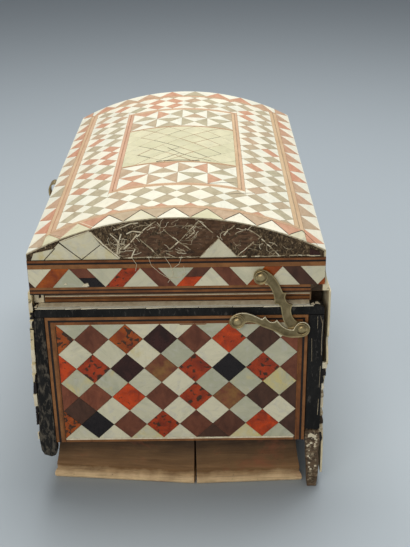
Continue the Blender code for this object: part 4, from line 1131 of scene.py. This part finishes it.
# Back side: a plain veneer ruled with strips, back from its broken edge
sheet = new_sheet()
left, right = 25.0, LENGTH - 2.0
frame_strips(sheet, (left, 46.0, right, BODY_TOP - 17.0), "TRB")
start, stop, panels = left, right - 6.2, 7
for k in range(panels):
    low, high = (start + (stop - start) * share / panels for share in (k, k + 1))
    lay(sheet, rectangle(low, 52.1, high, BODY_TOP - 23.1), MAROON, 0.1 + 0.12 * (k % 3))
raise_tiles(sheet, 0.12, 0.3, 0.04, 0.03)
slice_across(sheet, 6.0, left, SPREAD_LENGTH)
cut_rows(sheet, 58, 11.5, 8)
wrap(sheet, back_skin)
finish_piece("veneer_back_side", sheet, "box")

# Pale scratches down the right stile, and a dark sheet as painted shade in the hollow behind the band's
# broken corner
sheet = new_sheet()
for points, width in (
        ([(101.9, 146), (101.7, 128), (101.9, 117)], 0.3), ([(101.6, 108), (101.4, 90)], 0.25),
        ([(94.6, 131), (95.2, 112)], 0.2), ([(98.2, 148.5), (98.5, 139)], 0.2),
        ([(101.3, 80), (101.0, 66)], 0.35), ([(100.2, 149), (101.6, 143)], 0.25)):
    seam(sheet, points, width, GLUE)
settle("scratches_right_stile", sheet, near_end(0.0), "box", "ebony", 0.0, 0.06, 0.01, 0.0)

# A sheet in the dark mastic finish: painted shade in the hollow behind the band's broken corner
sheet = new_sheet()
lay(sheet, rectangle(88.0, LID_BOTTOM + 0.2, 100.4, 178.0), MASTIC_LINE)
settle("painted_shade_behind_band_corner", sheet, near_end(GABLE_FACE), "lid", "dark_ground", 0.0, 0.25, 0.05, 0.0)

# Crumbs of broken veneer stuck to the right post
sheet = new_sheet()
for _ in range(26):
    u, v = dice.uniform(94.5, 101.5), dice.choice((dice.uniform(14, 48), dice.uniform(36, 49)))
    size = dice.uniform(0.5, 1.5)
    turn = dice.uniform(0, 6)
    points = [(u + size * dice.uniform(0.7, 1.2) * math.cos(turn + k * 1.57),
               v + size * dice.uniform(0.7, 1.2) * math.sin(turn + k * 1.57)) for k in range(4)]
    lay(sheet, points, BONE)
lay(sheet, [(94.5, 45.5), (99.5, 46.4), (100.6, 49.0), (97, 50.0), (94.6, 48.2)], BONE)
settle("crumbs_on_post", sheet, near_end(1.4), "box", "bone_edge", 0.0, 1.2, 0.12, 0.1)

# Broken cream layers standing beside the left stile
sheet = new_sheet()
v = 46.0
while v < BODY_TOP - 8:
    tall = dice.uniform(4, 11)
    lift = skin_lift(FRONT_SPREAD, FRONT_LEAN, 0, v)
    stile = 101.4 + 5.2 * max(0.0, (149.8 - v) / 105.0)
    outer = BONE if dice.random() < 0.7 else DARK_STRING
    for low, high, finish in ((stile + 0.2, FRONT_FACE + lift - 0.2, outer),
                              (stile + 0.1, stile + 1.6, DARK_STRING)):
        if high - low > 0.7 and (finish == BONE or dice.random() < 0.6):
            wave = [dice.uniform(-0.5, 0.35) for _ in range(3)]
            lay(sheet, [(-high + wave[0], v), (-low, v + 0.3), (-low, v + tall),
                        (-high - wave[1], v + tall - 0.4), (-high - wave[2], v + tall / 2)], finish)
    v += tall + dice.uniform(0.2, 2.2)
settle("broken_edge_front", sheet, near_end(3.6), "box", "bone_edge", 0.25, 2.4, 0.25, 0.6)

# Ragged brown and cream layers over the edge of the back skin, beside the right stile
sheet = new_sheet()
v = 41.0
while v < 108:
    tall = dice.uniform(3.5, 9)
    low = 102.3 + dice.uniform(-0.3, 0.5)
    high = BACK_FACE + skin_lift(BACK_SPREAD, BACK_LEAN, 0, v + tall / 2) - dice.uniform(0.1, 0.9)
    points = [(low, v), (high - dice.uniform(0, 0.8), v + 0.4), (high, v + tall * 0.4),
              (high - dice.uniform(0.2, 1), v + tall), (low, v + tall)]
    lay(sheet, points, dice.choice((MASTIC_LINE, MASTIC_LINE, DARK_STRING, GLUE, BONE, BONE)), 0.3)
    v += tall + dice.uniform(-0.5, 0.6)
settle("broken_edge_back", sheet, near_end(3.0), "box", "dark_ground", 0.1, 2.0, 0.25, 0.5)

# Neck and ledge of the near end
sheet = new_sheet()
straight_strips(sheet, -93.6, 93.0, LEDGE_Z + 0.3, (
    (0.6, DARK_STRING), (2.1, STRING), (0.6, DARK_STRING), (1.1, STRING), (0.8, BONE)))
settle("neck_strips", sheet, near_end(CARCASS_FACE), "box", "marquetry", 0.06, 0.3, 0.05, 0.05)

# Pale broken edge along the top of the rail
sheet = new_sheet()
u = RAIL_LEFT + 1.5
while u < 94.0:
    stop = min(u + dice.uniform(9, 26), 95.0)
    lay(sheet, [(u, LEDGE_Z - dice.uniform(0.5, 1.1)), (stop, LEDGE_Z - dice.uniform(0.4, 0.9)),
                (stop, LEDGE_Z - 0.05), (u, LEDGE_Z - 0.05)], BONE)
    u = stop + dice.uniform(0.0, 0.6)
settle("pale_edge_on_rail", sheet, near_end(0.0), "box", "bone_edge", 0.0, 0.15, 0.03, 0.05)

# Cream layers round a dark hole, left of the neck
sheet = new_sheet()
for low, bottom, high, top in ((-101.4, 157.7, -98.1, 167.4), (-96.3, 157.8, -94.5, 167.0),
                               (-98.1, 157.7, -96.3, 161.6), (-98.1, 164.0, -96.3, 167.6)):
    lay(sheet, [(low, bottom), (high, bottom + 0.2), (high, top), (low, top - 0.3)], BONE)
settle("cream_layers_left_of_neck", sheet, near_end(span("front_board")[0][1]), "box", "bone_edge",
       0.0, 0.6, 0.12, 0.15)

# Two rows of old strips on the ledge, with a few chips left over at its ends; the pale front row is partly a
# painted highlight along the ledge's front edge
sheet = new_sheet()
u = RAIL_LEFT + 3.0
while u < 92.0:
    length = dice.uniform(16, 30)
    stop = min(u + length, 92.5)
    low, high = dice.uniform(1.9, 2.6), RAIL_DEPTH - dice.uniform(0.1, 0.4)
    lay(sheet, [(u, 0.4), (stop, dice.uniform(0.3, 0.6)), (stop, 1.9), (u, 2.0)], PEARL_WITH_SHEEN, 0.6)
    lay(sheet, [(u, low), (stop, low + dice.uniform(-0.3, 0.3)), (stop, high), (u, high)], BONE, 0.2)
    u += length
for points in ([(93.0, 1.5), (96.0, 0.8), (95.2, 4.5)], [(96.2, 2.6), (99.8, 1.9), (98.4, 5.6), (96.6, 5.0)],
               [(-100.6, 2.0), (-98.6, 1.2), (-98.8, 6.5), (-99.8, 6.0)]):
    lay(sheet, points, BONE)
settle("ledge_strip", sheet, lambda u, v, h: at(u, v, LEDGE_Z + h), "box", "pearl", 0.12, 0.35, 0.1, 0.1)

# Brass stay: arms with softened edges and shallow hollow faces, rings round the screws; a painted highlight
# on the upward edges, painted shade on the hollow faces
def softened(node, body):
    """A copy of a CAD node with soft edges and its large outer faces a little hollowed; upward edges get a
    painted highlight, hollowed faces painted shade.
    """
    solid = bmesh.new()
    solid.from_mesh(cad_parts[node].data)
    bmesh.ops.remove_doubles(solid, verts=solid.verts[:], dist=0.01 * mm)
    bmesh.ops.dissolve_limit(solid, angle_limit=math.radians(1), verts=solid.verts[:], edges=solid.edges[:])
    sharp = [line for line in solid.edges if line.is_manifold and line.calc_face_angle() > math.radians(50)]
    edged = bmesh.ops.bevel(solid, geom=sharp, offset=ARM_EDGE * mm, offset_type="OFFSET", segments=2,
                            profile=0.5, affect="EDGES", material=-1, clamp_overlap=True)
    solid.normal_update()
    # Upward-facing edges take the light brass as a painted highlight, the other edges plain brass
    for face in edged["faces"]:
        face.material_index = 1 if face.normal.z > 0.05 else 0
    outer = [face for face in solid.faces if face.normal.y < -0.99 and face.calc_area() > 60 * mm**2]
    bmesh.ops.inset_region(solid, faces=outer, thickness=HOLLOW_RIM * mm, depth=-HOLLOW_DEPTH * mm,
                           use_even_offset=True, use_boundary=True)
    # The hollowed faces take the dark brass as painted shade
    for face in outer:
        face.material_index = 2
    finish_piece(node + "_softened", solid, body, [BRASS, PAINTED_HIGHLIGHT_BRASS, PAINTED_SHADE_BRASS], [node])


ARM_EDGE = 0.42
HOLLOW_RIM = 0.65
HOLLOW_DEPTH = 0.4
LID_PIVOT, BODY_PIVOT, ELBOW = (57.9, 181.1), (41.5, 147.8), (86.8, 141.1)
UPPER_FACE, LOWER_FACE = -2.8, -4.7
BEAD = 0.3
BRASS = brass("aged_brass", (0.32, 0.24, 0.115), (0.44, 0.34, 0.17), (0.57, 0.45, 0.24))
# Dark brass is painted shade for the hollowed faces; light brass is a painted highlight for the upward edges
PAINTED_SHADE_BRASS = brass("brass_painted_shade", (0.17, 0.125, 0.06), (0.25, 0.19, 0.095), (0.35, 0.27, 0.145))
PAINTED_HIGHLIGHT_BRASS = brass("brass_painted_highlight", (0.80, 0.71, 0.50), (0.92, 0.83, 0.60), (0.98, 0.90, 0.70), (0.15, 0.1))
softened("stay_arm_upper", "stay_upper")
softened("stay_arm_lower", "stay_lower")


def ring(solid, centre, face, radius):
    """A raised bead round a screw, on the arm's outer face."""
    circle = bmesh.ops.create_circle(solid, cap_ends=False, radius=BEAD * mm, segments=8)["verts"]
    bmesh.ops.translate(solid, verts=circle, vec=at(centre[0] + radius, face, centre[1]))
    lines = [line for line in solid.edges if line.verts[0] in circle and line.verts[1] in circle]
    bmesh.ops.spin(solid, geom=circle + lines, cent=at(centre[0], face, centre[1]), axis=(0, 1, 0),
                   angle=2 * math.pi, steps=28, use_merge=True)


for name, body, centre, face, radii in (
        ("stay_rings_lid", "stay_upper", LID_PIVOT, UPPER_FACE, (4.3,)),
        ("stay_rings_body", "stay_lower", BODY_PIVOT, LOWER_FACE, (4.2, 5.4)),
        ("stay_rings_elbow", "stay_lower", ELBOW, LOWER_FACE, (4.2,))):
    solid = bmesh.new()
    for radius in radii:
        ring(solid, centre, face, radius)
    bmesh.ops.remove_doubles(solid, verts=solid.verts[:], dist=0.001 * mm)
    bmesh.ops.recalc_face_normals(solid, faces=solid.faces[:])
    finish_piece(name, solid, body, [BRASS])

# Finishes of the CAD nodes that stay
LID_PINE = wood("lid_pine", (0.36, 0.22, 0.11), (0.17, 0.095, 0.045), 120.0, (1.0, 0.1, 1.0), 0.8,
                (0.6, 0.85), ((0.10, 0.06, 0.035), 40.0, 0.4, 0.6))
PINE = wood("old_pine", (0.34, 0.21, 0.11), (0.17, 0.095, 0.05), 130.0, (0.12, 0.12, 1.0), 0.8,
            (0.6, 0.85), ((0.09, 0.055, 0.03), 50.0, 0.4, 0.6))
DARK_WOOD = ground("dark_old_wood", (0.035, 0.022, 0.014), (0.13, 0.072, 0.04), (0.34, 0.27, 0.17))
BED = ground("tile_bed", (0.03, 0.02, 0.013), (0.11, 0.07, 0.04), (0.40, 0.33, 0.22))
WORN_POST = ground("worn_post", (0.045, 0.03, 0.019), (0.19, 0.125, 0.075), (0.56, 0.46, 0.30), 0.5)
EBONY = ebony("worn_ebony", (0.11, 0.10, 0.09), 0.42)
DUSTY_EBONY = ebony("dusty_ebony", (0.16, 0.137, 0.105), 0.58)
CREAM_EDGE = bone("cream_skin", (0.80, 0.70, 0.44), (0.56, 0.43, 0.22), 0.45)
WARM_EDGE = bone("warm_skin", (0.84, 0.76, 0.54), (0.60, 0.48, 0.27), 0.35)
BOARD = bare_board()
NODE_FINISH = {
    "carcass": PINE, "lid_shell": LID_PINE, "front_board": MASTIC, "back_board": MASTIC,
    "back_apron": PINE, "end_panel_near": BED, "end_panel_far": BED, "lid_band_near": BED,
    "lid_band_front": BED, "lid_band_back": WARM_EDGE, "front_skin": CREAM_EDGE, "back_skin": WARM_EDGE,
    "corner_post_near_right": WORN_POST, "foot_far_left": WORN_POST, "foot_far_right": WORN_POST,
    "ebony_stile_near_left": DUSTY_EBONY,
}
for name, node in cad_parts.items():
    if name in NODE_FINISH:
        chosen = NODE_FINISH[name]
    elif name.startswith("ebony"):
        chosen = EBONY
    elif name.startswith("base_board"):
        chosen = BOARD
    elif name.startswith(("hinge", "stay", "front_catch")):
        chosen = BRASS
    else:
        chosen = DARK_WOOD
    for place in node.material_slots:
        place.material = chosen

# Camera, floor and light
camera = new_object("camera", bpy.data.cameras.new("camera"))
camera.data.sensor_fit = "VERTICAL"
camera.data.sensor_height = 36.0
camera.data.lens = 61.2
PITCH, YAW, ROLL = map(math.radians, (25.572, -0.419, -0.932))
look = Vector((math.sin(YAW) * math.cos(PITCH), math.cos(YAW) * math.cos(PITCH), -math.sin(PITCH)))
side = Vector((math.cos(YAW), -math.sin(YAW), 0.0))
up = side.cross(look)
right = side * math.cos(ROLL) + up * math.sin(ROLL)
above = up * math.cos(ROLL) - side * math.sin(ROLL)
camera.matrix_world = Matrix((right, above, -look)).transposed().to_4x4()
camera.location = (0.02375, -0.73668, 0.45867)
bpy.context.scene.camera = camera
bpy.context.scene.view_settings.view_transform = "Standard"

floor_mesh = bmesh.new()
bmesh.ops.create_grid(floor_mesh, x_segments=2, y_segments=2, size=4.0)
mesh = bpy.data.meshes.new("floor")
floor_mesh.to_mesh(mesh)
floor_mesh.free()
floor = new_object("floor", mesh)
plain = Finish("plain_floor", 0.7)
plain.shader.inputs["Base Color"].default_value = (0.385, 0.435, 0.475, 1.0)
mesh.materials.append(plain.material)


def soft_light(name, place, aim, size, power, colour):
    lamp = bpy.data.lights.new(name, "AREA")
    lamp.shape = "RECTANGLE"
    lamp.size, lamp.size_y = size
    lamp.energy = power
    lamp.color = colour
    hung = new_object(name, lamp)
    hung.location = place
    hung.rotation_euler = (Vector(aim) - Vector(place)).to_track_quat("-Z", "Y").to_euler()


soft_light("top_light", (0.1, 0.3, 1.5), (0.0, 0.0, 0.15), (1.1, 0.9), 25.0, (1.0, 0.985, 0.955))
soft_light("near_light", (-0.5, -1.5, 0.9), (0.0, -0.1, 0.1), (1.4, 1.0), 12.0, (1.0, 0.95, 0.86))
world = bpy.data.worlds.new("studio")
bpy.context.scene.world = world
world.use_nodes = True
sky = world.node_tree.nodes["Background"].inputs
sky["Color"].default_value = (0.92, 0.95, 1.0, 1.0)
sky["Strength"].default_value = 0.22
